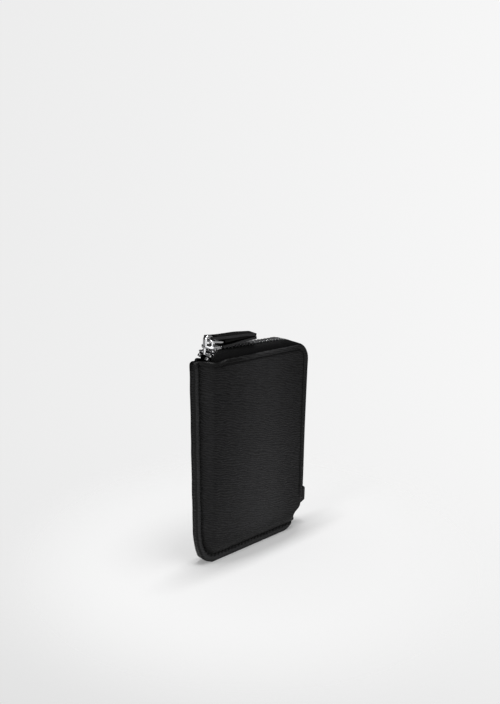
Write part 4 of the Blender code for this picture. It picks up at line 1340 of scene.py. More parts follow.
def stitch_mesh() -> bpy.types.Mesh:
    """One stitch: a short thick thread along Y whose ends dip into the leather."""
    rings = []
    for step in range(STITCH_STEPS + 1):
        share = 2 * step / STITCH_STEPS - 1
        full = math.sqrt(max(1 - share**4, 0.0))
        radius = THREAD_RADIUS * (THREAD_END_SHARE + THREAD_MIDDLE_SHARE * full)
        level = THREAD_RADIUS * (THREAD_RISE - THREAD_DIP * share**4)
        centre = Vector((0.0, share * STITCH_LENGTH / 2, level))
        rings.append([
            centre + Vector((radius * math.cos(a), 0.0, radius * math.sin(a)))
            for a in full_turn(STITCH_SIDES)
        ])
    return loft_mesh("stitch", rings)


@dataclass
class Panels:
    """The two leather panels with their turned rim, stitch line and soft swell."""

    layout: Layout
    finishes: Finishes
    scatter: Scatter

    def outer_half(self, x: Array, z: Array, side: Side) -> Array:
        """Half thickness of a panel's outer face with all its finer forms."""
        lay = self.layout
        sewn = lay.sewn_inset(x, z)
        opened = lay.open_inset(x, z)
        half = lay.filled_half(x, z)
        edge = LEFT_EDGE_HALF + (FOOT_HALF - LEFT_EDGE_HALF) * lay.foot_share(x, z)
        rounded = edge + (lay.seam_half(x, z) - edge) * quarter_round(sewn, EDGE_ROUND)
        half = np.where(sewn < EDGE_ROUND, rounded, half)
        hole, beside, foot = self.seam_marks(x, z)
        depth = GROOVE_DEPTH * (GROOVE_SHARE + GROOVE_HOLE_SHARE * hole) * (1 - GROOVE_FOOT_LOSS * foot)
        half = half - depth * hump(beside, (GROOVE_REACH + GROOVE_FOOT_REACH * foot) * GROOVE_HALF)
        half = half - PUCKER_DEPTH * (1 + foot) * hole * hump(beside - PUCKER_MIDDLE, PUCKER_REACH)
        fade = ease_both((x - SEAM_MARGIN) / RIM_FADE) * ease_both((z - NOTCH_TOP) / RIM_FADE)
        bulge = np.sqrt(np.clip(1 - (2 * opened / TURNED_EDGE - 1) ** 2, 0.0, 1.0))
        half = half + TURNED_EDGE_RISE * fade * bulge
        half = half - CREASE_DEPTH * hump(opened - TURNED_EDGE - CREASE_MIDDLE, CREASE_REACH) * fade
        inside = ease_both((sewn - PUFF_START) / PUFF_RAMP) * ease_both((opened - RIM_FLAT) / RIM_FADE)
        seed = UNEVEN_SEEDS[side]
        uneven = waves(x, z, UNEVEN_LONG, seed) + UNEVEN_SHORT_SHARE * waves(x, z, UNEVEN_SHORT, seed + 1)
        half = half + UNEVEN * inside * uneven
        across, up = 2 * x / PANEL_WIDTH - 1, 2 * z / lay.height - 1
        half = half + CROWN * inside * np.clip(1 - across**2, 0.0, 1.0) * np.clip(1 - up**2, 0.0, 1.0)
        return half - RIM_ROUND * (1 - quarter_round(opened, RIM_ROUND))

    def seam_marks(self, x: Array, z: Array) -> tuple[Array, Array, Array]:
        """Where a place lies beside the seam.

        Args:
            x: places in wallet measures along X.
            z: places in wallet measures along Z.

        Returns:
            How near a stitch hole lies, from 0 to 1, the distance in from the wandering seam, and
            the share of the foot.
        """
        lay = self.layout
        run, foot = lay.seam_run(x, z), lay.foot_share(x, z)
        wander = SEAM_WANDER * waves(run, run, SEAM_WANDER_LENGTH, SEAM_WANDER_SEED)
        beside = lay.sewn_inset(x, z) - SEAM_MARGIN - wander
        hole = 0.5 + 0.5 * np.cos(2 * math.pi * (run - HOLE_SLANT * beside) / STITCH_PITCH)
        return hole, beside, foot

    def line_shade(self, x: Array, z: Array) -> Array:
        """How much highlight and sheen is painted at a place, up to 1, or shade, down to -1; on the flanges
        the light is partly wear.
        """
        lay = self.layout
        sewn, opened = lay.sewn_inset(x, z), lay.open_inset(x, z)
        hole, beside, foot = self.seam_marks(x, z)
        # Painted shade in the groove and its holes, in the ticks at the foot, under the turned edge and along
        # the rim.
        dark = (SEAM_TONE + HOLE_TONE * hole) * (1 - foot) * SEAM_SHADE.at(beside)
        dark = dark + TICK_TONE * foot * (hole**TICK_POWER + TICK_BETWEEN) * TICK_SHADE.at(beside)
        dark = dark + TURNED_EDGE_SHADE.at(opened - TURNED_EDGE) + SWELL_SHADE.at(sewn)
        dark = dark + SEWN_EDGE_SHADE.at(sewn) * (1 - foot)
        dark = dark + RIM_LEFT_SHADE.at(opened) * (1 - ease_both((x - RIM_SHADE_END) / RIM_TONE_RAMP))
        dark = dark + RIM_SHADE.at(opened) + LOW_RIGHT_SHADE_X.at(x) * LOW_RIGHT_SHADE_Z.at(z)
        # Painted highlight along the rim, starting a little right of its left end.
        light = RIM_HIGHLIGHT.at(opened) * ease_both((x - RIM_HIGHLIGHT_START) / RIM_TONE_RAMP)
        # Lighter sewn flanges: partly wear, partly painted sheen.
        flange = hump(sewn - FLANGE_MIDDLE, FLANGE_REACH + FLANGE_FOOT_REACH * foot)
        light = light + (FLANGE_WEAR_AND_SHEEN + FLANGE_FOOT_WEAR_AND_SHEEN * foot) * flange
        # Painted sheen in the middle of the panel, brighter towards the bottom.
        belly = BELLY_SHEEN.at(x) * ease_both((sewn - BELLY_START) / BELLY_RAMP)
        light = light + belly * (BELLY_LOW - BELLY_FALL * z / lay.height)
        return np.clip(light - dark, -1.0, 1.0)

    def inner_half(self, x: Array, z: Array) -> Array:
        """Half thickness of a panel's inner face."""
        lay = self.layout
        sewn = lay.sewn_inset(x, z)
        share = np.clip(2 * sewn / EDGE_ROUND - 1, 0.0, 1.0)
        lowest = lay.seam_half(x, z) - LEATHER
        near = GAP / 2 + (lowest - GAP / 2) * share
        far = np.maximum(lowest, lay.half_below(x, z, LEATHER))
        half = np.where(sewn < EDGE_ROUND, near, far)
        turned = 1 - quarter_round(lay.open_inset(x, z), RIM_INNER_ROUND)
        return half + RIM_INNER_ROUND * turned * (sewn > EDGE_ROUND)

    def world_x(self, x: Array, z: Array) -> Array:
        """World X of a place on a panel: the lower left corner is longer than round, the edge uneven."""
        plain = self.layout.left_side(z)
        share = np.clip(1 - z / SOFT_CORNER_HEIGHT, 0.0, 1.0)
        toe = np.clip(1 - z / SOFT_TOE_HEIGHT, 0.0, 1.0)
        soft = SOFT_CORNER_WIDTH * share**SOFT_CORNER_POWER + SOFT_TOE_WIDTH * toe**SOFT_TOE_POWER
        shift = (soft - plain) * ease_both(1 - (x - plain) / SOFT_CORNER_REACH)
        ripple = EDGE_RIPPLE * waves(z, z, EDGE_RIPPLE_LENGTH, EDGE_RIPPLE_SEED)
        ripple = ripple * (1 - ease_both(x / EDGE_RIPPLE_FADE))
        ripple = ripple * ease_both((z - EDGE_RIPPLE_START) / EDGE_RIPPLE_FADE)
        notch = sum(band.at(z) for band in NOTCH_FORM)
        notch = notch * ease_both((x - NOTCH_FORM_START) / NOTCH_FORM_RAMP)
        return self.layout.place_x(x + shift, z) + ripple + notch

    @staticmethod
    def stations(length: float, spacing: float) -> tuple[list[float], list[float], int]:
        """Insets of the grid's lines, close together where the leather bends.

        Args:
            length: how much of the panel the even lines share.
            spacing: how far apart the even lines stand.

        Returns:
            Insets from the sewn edge, insets from the open edge, and how many even lines lie between.
        """
        sewn = list(EDGE_ROUND * (1 - np.cos(np.linspace(0, math.pi / 2, 8))))
        sewn += GRID_FLANGE_LINES
        sewn += list(np.linspace(SEAM_MARGIN - GRID_SEAM_REACH, SEAM_MARGIN + GRID_SEAM_REACH, 9))
        sewn += list(PUFF_START + PUFF_RAMP * np.linspace(GRID_PUFF_SHARE, 1.0, 14))
        before, after = GRID_CREASE_LINES
        opened = list(np.linspace(TOP_RIGHT_RADIUS, before, 8))
        opened += list(np.linspace(after, RIM_ROUND, 10))
        opened += list(RIM_ROUND * (1 - np.sin(np.linspace(GRID_RIM_TURN, math.pi / 2, 7))))
        return sewn, opened, int(length / spacing)

    def grid(self) -> tuple[Array, Array]:
        """Wallet measures, x and z, of every point of a panel's grid."""
        lay = self.layout
        near, far, count = self.stations(lay.height - GRID_BORDERS, GRID_STEP_UP)
        top = [lay.height - inset for inset in far]
        levels = np.array(near + list(np.linspace(near[-1], top[0], count + 2)[1:-1]) + top)
        near, far, count = self.stations(PANEL_WIDTH - GRID_BORDERS, GRID_STEP_ACROSS)
        rows = []
        for z in levels:
            left, right = lay.left_side(z), lay.right_side(z)
            start = [left + inset for inset in near]
            end = [right - inset for inset in far]
            rows.append(start + list(np.linspace(start[-1], end[0], count + 2)[1:-1]) + end)
        x = np.array(rows)
        return x, np.repeat(levels[:, None], x.shape[1], axis=1)

    def rim_drop(self, x: Array, z: Array) -> Array:
        """How far the top rim dips beside the slider, where the hand pulls it, and at its left end."""
        near = np.clip(1 - (self.layout.height - z) / RIM_DIP_HEIGHT, 0.0, 1.0)
        corner = corner_inset(TOP_LEFT_ROUND, TOP_LEFT_ROUND - x)
        return (RIM_DIP * hump(x - RIM_DIP_X, RIM_DIP_REACH) + corner) * near

    def add(self, side: Side) -> None:
        """Builds one panel and its stitches."""
        lay = self.layout
        x, z = self.grid()
        outer = self.outer_half(x, z, side)
        inner = np.minimum(self.inner_half(x, z), outer - THINNEST)
        level = z - self.rim_drop(x, z)
        across = self.world_x(x, z)
        faces = [np.stack([across, side.value * half, level], axis=-1) for half in (outer, inner)]
        name = f"{side.word}_leather"
        mesh = slab_mesh(name, *faces)
        # The line attribute carries the painted light and shade into the tone; the inner face keeps only the
        # painted shade.
        shade = mesh.attributes.new("line", "FLOAT", "POINT")
        line = self.line_shade(x, z).ravel()
        shade.data.foreach_set("value", np.concatenate([line, np.minimum(line, 0.0)]))
        settle(add_piece(name, mesh, self.finishes.panel), "wallet", "leather", f"{side.word}_panel")
        self.add_stitches(side)

    def add_stitches(self, side: Side) -> None:
        """Lays the stitches in the groove, down the left edge, round the corner and along the foot."""
        lay = self.layout
        corner = BOTTOM_LEFT_RADIUS
        turn = corner - SEAM_MARGIN
        down = lay.height - corner - STITCH_TOP_INSET
        arc = turn * math.pi / 2
        along = PANEL_WIDTH - NOTCH_DEPTH - BOTTOM_RIGHT_RADIUS - corner + STITCH_END_RUN
        count = int((down + arc + along) / STITCH_PITCH)
        places = []
        for index in range(count):
            run = (index + 0.5) * STITCH_PITCH
            if run < down:
                x, z, angle = SEAM_MARGIN, corner + down - run, 0.0
            elif run < down + arc:
                angle = (run - down) / turn
                x, z = corner - turn * math.cos(angle), corner - turn * math.sin(angle)
            else:
                x, z, angle = corner + run - down - arc, SEAM_MARGIN, math.pi / 2
            spot = np.array([x]), np.array([z])
            half = float(self.outer_half(*spot, side)[0]) + THREAD_RADIUS * STITCH_LIFT
            along_line = Vector((math.sin(angle), 0.0, -math.cos(angle)))
            out = Vector((0.0, side.value, 0.0))
            turned = axes(along_line.cross(out), along_line, out)
            place = Vector((float(self.world_x(*spot)[0]), side.value * half, z))
            places.append(Matrix.Translation(place) @ turned @ Matrix.Rotation(STITCH_SLANT, 4, "Z"))
        stitches = self.scatter.run(
            f"{side.word}_stitches", places, stitch_mesh(), self.finishes.thread,
            STITCH_WOBBLE, side.value + STITCH_SEED,
        )
        settle(stitches, "wallet", "leather")


@dataclass
class Zip:
    """Teeth and tapes of the zip."""

    chain: Chain
    finishes: Finishes
    scatter: Scatter

    @staticmethod
    def tooth_mesh() -> bpy.types.Mesh:
        """One cast tooth: a broad foot on the cord and a head that narrows towards its tip."""
        rings = []
        stations = (  # place along X, share of the height, share of the thickness
            (TOOTH_OUTSIDE, 0.78, 0.80),
            (TOOTH_OUTSIDE - 0.00012, 0.91, 0.94),
            (TOOTH_OUTSIDE - 0.0004, 0.97, 1.0),
            (CORD_MIDDLE - 0.0001, 1.0, 1.0),
            (TOOTH_SHOULDER, 1.0, 1.0),
            (TOOTH_SHOULDER - 0.00035, 0.97, 0.92),
            (0.0005, 0.94, 0.86),
            (0.0001, 0.92, 0.88),
            (-0.0003, 0.88, 0.84),
            (-TOOTH_REACH + 0.00012, 0.82, 0.74),
            (-TOOTH_REACH, 0.68, 0.58),
        )
        bevel = TOOTH_BEVEL
        for x, tall, thick in stations:
            high = TOOTH_HALF_HEIGHT * tall
            half = TOOTH_HALF_THICKNESS * thick
            rings.append([
                Vector((x, half, high - bevel)), Vector((x, half - bevel, high)),
                Vector((x, bevel - half, high)), Vector((x, -half, high - bevel)),
                Vector((x, -half, bevel - high)), Vector((x, bevel - half, -high)),
                Vector((x, half - bevel, -high)), Vector((x, half, bevel - high)),
            ])
        mesh = loft_mesh("tooth", rings)
        # Painted shade on each tooth's outer end, darkest at its tip.
        dull = mesh.attributes.new("dull", "FLOAT", "POINT")
        for value, vertex in zip(dull.data, mesh.vertices):
            value.value = float(ease_both(1 + (vertex.co.x - TOOTH_OUTSIDE) / TOOTH_END_SHADE_LENGTH))
        return mesh

    def add_teeth(self, side: Side) -> None:
        """Clamps a row of teeth on its cord."""
        places = [self.chain.frame(run, side) for run in self.chain.tooth_runs(side)]
        row = self.scatter.run(
            f"{side.word}_tooth_row", places, self.tooth_mesh(), self.finishes.teeth, TOOTH_WOBBLE, TOOTH_SEED
        )
        dull = row.data.attributes["dull"]
        # The painted shade fades out towards the slider, where the parted teeth stay bright.
        closed = self.chain.layout.left + self.chain.mesh_x
        for value, vertex in zip(dull.data, row.data.vertices):
            value.value *= float(ease_both((vertex.co.x - closed) / TOOTH_END_SHADE_FADE))
        settle(row, "wallet", "zip_metal", f"{side.word}_teeth")

    def add_cord(self, side: Side) -> None:
        """The round cord on the tape's edge that the teeth grip."""
        runs = self.chain.tooth_runs(side)
        rings = []
        for run in np.linspace(runs[0] - CORD_END, runs[-1] + CORD_END, CORD_RINGS):
            frame = self.chain.frame(float(run), side)
            rings.append([
                frame @ Vector((CORD_MIDDLE + CORD_WIDE * math.cos(a), 0.0, CORD_TALL * math.sin(a)))
                for a in full_turn(CORD_SIDES)
            ])
        name = f"{side.word}_tape_cord"
        cord = add_piece(name, loft_mesh(name, rings), self.finishes.tape)
        self.map_ribbon(cord, [row * RIBBON_ALONG for row in range(CORD_RINGS)], CORD_SIDES, RIBBON_ROUND)
        settle(cord, "wallet", "tape")

    @staticmethod
    def map_ribbon(piece: Piece, along: Sequence[float], columns: int, step: float) -> None:
        """Gives a piece its woven map in millimetres from its own point numbers.

        Args:
            piece: the piece, its points in rows.
            along: how far along the ribbon each row lies.
            columns: how many points each row has.
            step: how far apart the points of a row lie across the ribbon.
        """
        layer = piece.data.uv_layers.new(name="ribbon")
        size = len(along) * columns
        for loop in piece.data.loops:
            row, column = divmod(loop.vertex_index % size, columns)
            layer.data[loop.index].uv = (along[row], column * step)

    def add_tape(self, side: Side) -> None:
        """Woven tape from the cord out to the panel, then down behind the panel's rim."""
        lay = self.chain.layout
        start = self.chain.tooth_runs(side)[0]
        runs = np.concatenate([np.linspace(start, 0.0, 14)[:-1], np.linspace(0.0, self.chain.tape_run, 230)])
        lines = [self._tape_line(float(run), side) for run in runs]
        centre = np.array([[tuple(point) for point in line] for line in lines])
        normal = np.cross(np.gradient(centre, axis=0), np.gradient(centre, axis=1))
        normal /= np.linalg.norm(normal, axis=-1, keepdims=True)
        faces = [centre + sign * TAPE / 2 * normal for sign in (1, -1)]
        for face in faces:
            face[..., 0] = lay.place_x(face[..., 0], face[..., 2])
        name = f"{side.word}_tape_cloth"
        tape = add_piece(name, slab_mesh(name, *faces), self.finishes.tape)
        self.map_ribbon(tape, runs * MILLIMETRES, centre.shape[1], RIBBON_ACROSS)
        settle(tape, "wallet", "tape", f"{side.word}_tape")

    def _height_above_rim(self, place: Vector, outward: Vector) -> float:
        """How far above the panels' open edge a place stands, found by halving."""
        low, high = -2 * CHAIN_HEIGHT, 2 * CHAIN_HEIGHT
        for _ in range(30):
            middle = (low + high) / 2
            point = place - outward * middle
            if self.chain.layout.open_inset(np.array(point.x), np.array(point.z)) > 0:
                high = middle
            else:
                low = middle
        return low

    def _tape_line(self, run: float, side: Side) -> list[Vector]:
        """Middle of the tape at one run, from the cord to the hem, in wallet measures."""
        lay = self.chain.layout
        frame = self.chain.frame(run, side)
        edge = frame @ Vector((TOOTH_OUTSIDE + GAP + TAPE, 0.0, 0.0))
        spine, outward = self.chain.middle(run)
        if run <= 0:
            outward = Vector((0.0, 0.0, 1.0))
        flat = Vector((edge.x + (spine.x - lay.point(spine).x), 0.0, edge.z))
        if run < 0:
            flat.z = max(flat.z, lay.height + GAP)
        height = self._height_above_rim(flat, outward)
        rim = flat - outward * height
        hem = rim - outward * TAPE_HEM
        depth = LEATHER + 2 * GAP + TAPE / 2
        wall = float(lay.half_below(rim.x, rim.z, depth))
        start = abs(edge.y)
        puff = float(np.interp(run, TAPE_PUFF_RUNS, TAPE_PUFFS))
        middle = height - TAPE_SAG - max(start - wall, 0.0) + puff
        high = middle - TAPE_SHOULDER * max(height, 0.0) / (lay.chain_level - lay.height)
        knots = [
            (flat, start),
            (rim + outward * middle, start + (wall - start) / 2),
            (rim + outward * high, wall),
            (rim + outward * min(high - TAPE_LOW_POINT, 0.0), wall),
            (hem, float(lay.half_below(hem.x, hem.z, depth))),
        ]
        line = []
        for (here, near), (there, far) in zip(knots, knots[1:]):
            for share in (0.0, 1 / 3, 2 / 3):
                spot = here.lerp(there, share)
                line.append(Vector((spot.x, side.value * (near + (far - near) * share), spot.z)))
        last, half = knots[-1]
        line.append(Vector((last.x, side.value * half, last.z)))
        for _ in range(2):
            line = [line[0]] + [
                (a + b * 2 + c) / 4 for a, b, c in zip(line, line[1:], line[2:])
            ] + [line[-1]]
        return line


@dataclass
class ZipEnds:
    """The clips at the ends of the chain and the leather ear over its lower end."""

    chain: Chain
    finishes: Finishes

    def clip(self, run: float, side: Side, inside: float, outside: float, length: float) -> bpy.types.Mesh:
        """A pressed metal clip.

        Args:
            run: length along the chain of its middle.
            side: the row that it sits on.
            inside: its edge nearest the middle of the chain.
            outside: its edge farthest from the middle of the chain.
            length: its length along the chain.

        Returns:
            The mesh, in its place.
        """
        low = (inside, -length / 2, -STOP_HALF_HEIGHT)
        high = (outside, length / 2, STOP_HALF_HEIGHT)
        return merged("clip", [block_mesh(low, high, STOP_ROUND)], self.chain.frame(run, side))

    def add_stops(self) -> None:
        """Sets the two top stops and the bottom stop."""
        for side in Side:
            end = self.chain.tooth_runs(side)[0] - TOOTH_HALF_THICKNESS - CORD_TAIL - GAP - STOP_LENGTH / 2
            name = f"{side.word}_top_stop"
            mesh = self.clip(end, side, STOP_INSIDE, STOP_OUTSIDE, STOP_LENGTH)
            settle(add_piece(f"{name}_clip", mesh, self.finishes.teeth), "wallet", "zip_metal", name)
        end = self.chain.chain_run + GAP + BOTTOM_STOP_LENGTH / 2
        mesh = self.clip(end, Side.BACK, -TOOTH_OUTSIDE, TOOTH_OUTSIDE, BOTTOM_STOP_LENGTH)
        settle(add_piece("bottom_stop_clip", mesh, self.finishes.teeth), "wallet", "zip_metal", "bottom_stop")

    def add_ear(self) -> None:
        """Folds the leather ear: a rounded nose whose lower end slants back under the panels' edge."""
        left = PANEL_WIDTH - EAR_OVERLAP
        turns = np.linspace(-math.pi / 2, math.pi / 2, EAR_SIDES)
        rings = []
        for share in np.linspace(0.0, 1.0, EAR_RINGS):
            z = EAR_ROOT + (EAR_TOP - EAR_ROOT) * share
            slant = ease_both((z - EAR_ROOT) / (EAR_BOTTOM + 0.5 * EAR_RADIUS - EAR_ROOT))
            drawn_in = corner_inset(EAR_RADIUS, z - EAR_TOP + EAR_RADIUS)
            reach = float(EAR_REACH * (EAR_ROOT_SHARE + EAR_SLANT_SHARE * slant) - drawn_in)
            ends = quarter_round(min(z - EAR_ROOT, EAR_TOP - z) + EAR_END_START, EAR_END_ROUND)
            half = float(EAR_HALF * (EAR_END_SHARE + EAR_FULL_SHARE * ends))
            rings.append([
                self.chain.layout.point(Vector((
                    left + reach * max(math.cos(turn), 0.0) ** EAR_NOSE_POWER + EAR_FORWARD,
                    half * math.copysign(abs(math.sin(turn)) ** EAR_SIDE_POWER, turn),
                    z,
                )))
                for turn in turns
            ])
        ear = add_piece("ear_leather", loft_mesh("ear_leather", rings), self.finishes.edge, 60.0)
        settle(ear, "wallet", "leather", "zip_end_ear")


@dataclass
class Interior:
    """Cloth linings and card pockets inside the body."""

    layout: Layout
    finishes: Finishes

    def lining_half(self, x: Array, z: Array) -> Array:
        """Half thickness of the lining's outer face."""
        less = LEATHER + BOARD + 3 * GAP
        swell = ease_out((self.layout.sewn_inset(x, z) - LINING_START) / PUFF_RAMP)
        return LINING_EDGE_HALF + (self.layout.body_half(z) - less - LINING_EDGE_HALF) * swell

    def add_cloth(
        self, name: str, grid: tuple[Array, Array], half: Array, thick: Array, side: Side, node: str
    ) -> None:
        """Adds a sheet of cloth.

        Args:
            name: the piece's name.
            grid: wallet measures, x and z, of its points.
            half: distance of its outer face from the middle of the wallet.
            thick: its thickness.
            side: the half of the wallet that it lies in.
            node: the node that it stands for.
        """
        x, z = grid
        across = self.layout.place_x(x, z)
        faces = [np.stack([across, side.value * depth, z], axis=-1) for depth in (half, half - thick)]
        mesh = slab_mesh(name, *faces)
        ribbon = mesh.uv_layers.new(name="ribbon")
        flat = np.stack([x.ravel(), z.ravel()], axis=1) * MILLIMETRES
        for loop in mesh.loops:
            ribbon.data[loop.index].uv = flat[loop.vertex_index % len(flat)]
        settle(add_piece(name, mesh, self.finishes.lining), "wallet", "lining", node)

    def add_lining(self, side: Side) -> None:
        """A thin lining that follows the inside of a panel and ends below its rim in a turned hem."""
        lay = self.layout
        top, right = lay.height - LINING_DROP, PANEL_WIDTH - LINING_DROP
        turn = TOP_RIGHT_RADIUS - LINING_DROP
        swell = [LINING_START + PUFF_RAMP * share for share in np.linspace(0, 1, 9)]
        bend = [top - turn * (1 - math.sin(a)) for a in np.linspace(0, math.pi / 2, 12)[1:]]
        levels = np.array(swell + list(np.linspace(swell[-1], top - turn, LINING_LINES)[1:]) + bend)
        rows = []
        for z in levels:
            start = float(corner_inset(BOTTOM_LEFT_RADIUS - LINING_START, BOTTOM_LEFT_RADIUS - z))
            end = right - float(corner_inset(turn, z - top + turn))
            end = min(end, float(lay.right_side(z)) - LINING_DROP)
            between = list(np.linspace(start + swell[-1], end, LINING_LINES)[1:])
            rows.append([start + place for place in swell] + between)
        x = np.array(rows)
        z = np.repeat(levels[:, None], x.shape[1], axis=1)
        folded = 1 - ease_both((top - z - LINING_HEM) / LINING_HEM_STEP)
        thick = LINING * (LINING_PLAIN_SHARE + LINING_HEM_SHARE * folded)
        half = self.lining_half(x, z)
        self.add_cloth(f"{side.word}_lining_cloth", (x, z), half, thick, side, f"{side.word}_lining")

    def add_pocket(self, word: str, layer: int, tall: float) -> None:
        """A card pocket: a rounded sheet with a folded hem along its mouth.

        Args:
            word: its place in words, as in the node's name.
            layer: how many pockets lie behind it.
            tall: its height.
        """
        lay = self.layout
        start = LINING_START + PUFF_RAMP + GAP
        end, top = PANEL_WIDTH - POCKET_SIDE_INSET, start + tall
        bends = SHEET_RADIUS * (1 - np.cos(np.linspace(0, math.pi / 2, 7)))
        straight = np.linspace(start + SHEET_RADIUS, top - SHEET_RADIUS, POCKET_ROWS)[1:-1]
        levels = np.concatenate([start + bends, straight, top - bends[::-1]])
        drawn = [float(corner_inset(SHEET_RADIUS, SHEET_RADIUS - min(z - start, top - z))) for z in levels]
        x = np.array([np.linspace(start + inset, end - inset, POCKET_COLUMNS) for inset in drawn])
        z = np.repeat(levels[:, None], POCKET_COLUMNS, axis=1)
        depth = LEATHER + BOARD + LINING + 4 * GAP + layer * (POCKET + GAP)
        inset = np.minimum(np.minimum(x - start, end - x), np.minimum(z - start, top - z))
        full = quarter_round(inset + POCKET_EDGE_START, POCKET_EDGE_ROUND)
        thick = POCKET * (POCKET_EDGE_SHARE + POCKET_FULL_SHARE * full)
        thick -= POCKET_HEM_DEPTH * hump(top - z - POCKET_HEM, POCKET_HEM_REACH)
        half = lay.body_half(z) - depth
        self.add_cloth(f"{word}_pocket_cloth", (x, z), half, thick, Side.BACK, f"card_pocket_{word}")


@dataclass
class Puller:
    """The cast slider, its wire ring and the two leather layers of the pull."""

    chain: Chain
    finishes: Finishes
    scatter: Scatter

    def __post_init__(self) -> None:
        """Finds the places of the slider and of the pull's hinge."""
        level = self.chain.layout.chain_level
        self.room = TOOTH_HALF_HEIGHT + SLIDER_ROOM
        place = self.chain.layout.point(Vector((SLIDER_PLACE, 0.0, level)))
        self.home = Matrix.Translation(place) @ Matrix.Rotation(CHAIN_SLOPE, 4, "Y")
        hinge_x = -BRIDGE_FRONT + BRIDGE_STRIP + RING_PLAY + RING_WIRE
        hinge = Vector((hinge_x, 0.0, self.room + SLIDER_PLATE + RING_RISE))
        turned = Matrix.Rotation(PULL_YAW, 4, "Z") @ Matrix.Rotation(-CHAIN_SLOPE, 4, "Y")
        self.pull_home = self.home @ Matrix.Translation(hinge) @ turned

    @staticmethod
    def plate_outline(reach: float) -> Array:
        """Outline of a slider plate that reaches this far ahead: a shield with a flat tail."""
        front = [(-a * reach, b * SLIDER_HALF_WIDTH) for a, b in FRONT_PLATE_SHARES]
        rear = [(a * SLIDER_REAR, b * SLIDER_HALF_WIDTH) for a, b in REAR_PLATE_SHARES]
        return smooth_path(mirrored(front + rear), 108, closed=True)

    def bridge_mesh(self) -> bpy.types.Mesh:
        """The arched strip on the slider that holds the ring, its feet in the plate."""
        length = BRIDGE_FRONT - BRIDGE_BACK + 2 * OVERRUN
        base = self.room + SLIDER_PLATE
        outer = [(-BRIDGE_FRONT + a * length, base + b * BRIDGE_HEIGHT) for a, b in BRIDGE_SHARES]
        middle = -BRIDGE_FRONT + length / 2
        across, up = 1 - 2 * BRIDGE_STRIP / length, 1 - BRIDGE_STRIP / BRIDGE_HEIGHT
        inner = [(middle + (x - middle) * across, base + (z - base) * up) for x, z in outer]
        foot = self.room + OVERRUN
        lines = [
            smooth_path([(line[0][0], foot)] + line + [(line[-1][0], foot)], 57) for line in (outer, inner)
        ]
        section = superellipse(1.0, BRIDGE_HALF_WIDTH, 24, BRIDGE_POWER)
        rings = []
        for (x, z), (inner_x, inner_z) in zip(*lines):
            centre = Vector(((x + inner_x) / 2, 0.0, (z + inner_z) / 2))
            wall = Vector(((x - inner_x) / 2, 0.0, (z - inner_z) / 2))
            rings.append([centre + wall * a + Vector((0.0, b, 0.0)) for a, b in section])
        return loft_mesh("bridge", rings)

    def add_slider(self) -> None:
        """Joins plates, diamond, side lips and bridge to the cast slider."""
        room, plate = self.room, SLIDER_PLATE

        def crown(x: float) -> float:
            """How much higher the upper plate stands at a place, towards its front."""
            return SLIDER_CROWN * float(ease_both((SLIDER_REAR - x) / (SLIDER_REAR + SLIDER_FRONT)))

        upper = plate_mesh(self.plate_outline(SLIDER_FRONT), room, room + plate, SLIDER_ROUND, crown)
        lower = plate_mesh(self.plate_outline(SLIDER_LOWER_FRONT), -room - plate, -room, SLIDER_ROUND)
        length = DIAMOND_FRONT - DIAMOND_BACK
        half = [(-DIAMOND_FRONT + a * length, b * DIAMOND_HALF_WIDTH) for a, b in DIAMOND_SHARES]
        post = room + plate / 2
        diamond = smooth_path(mirrored(half), 48, closed=True)
        parts = [upper, lower, plate_mesh(diamond, -post, post, DIAMOND_ROUND)]
        outside = SLIDER_HALF_WIDTH * REAR_PLATE_SHARES[1][1] - LIP_INSET
        for side in (-1, 1):
            for level in (-1, 1):
                low_y, high_y = sorted((side * outside, side * (outside - LIP_WALL)))
                low_z, high_z = sorted((level * TAPE_SLOT_HALF, level * (room + plate / 2)))
                corner = (SLIDER_REAR - LIP_REAR_INSET, high_y, high_z)
                parts.append(block_mesh((LIP_START, low_y, low_z), corner, LIP_ROUND))
        parts.append(self.bridge_mesh())
        body = merged("slider_body", parts, self.home)
        settle(
            add_piece("slider_body", body, self.finishes.slider, 50.0), "slider", "slider_metal", "slider"
        )

    def add_ring(self) -> None:
        """Bends the wire ring round the bridge."""
        corner = RING_CORNER
        knots = []
        for x, y, start in (
            (RING_LENGTH - corner, RING_HALF_WIDTH - corner, 0.0),
            (corner, RING_HALF_WIDTH - corner, math.pi / 2),
            (corner, corner - RING_HALF_WIDTH, math.pi),
            (RING_LENGTH - corner, corner - RING_HALF_WIDTH, 1.5 * math.pi),
        ):
            for turn in np.linspace(start, start + math.pi / 2, 10):
                knots.append(Vector((x + corner * math.cos(turn), y + corner * math.sin(turn), 0.0)))
        frame = self.pull_home @ Matrix.Rotation(RING_TILT, 4, "Y")
        rings = []
        for before, here, after in zip(knots[-1:] + knots[:-1], knots, knots[1:] + knots[:1]):
            along = (after - before).normalized()
            side = Vector((along.y, -along.x, 0.0))
            rings.append([
                frame @ (here + RING_WIRE * (side * math.cos(a) + Vector((0.0, 0.0, math.sin(a)))))
                for a in full_turn(16)
            ])
        mesh = loft_mesh("pull_ring_wire", rings, closed=True)
        settle(add_piece("pull_ring_wire", mesh, self.finishes.slider), "pull", "slider_metal", "pull_ring")

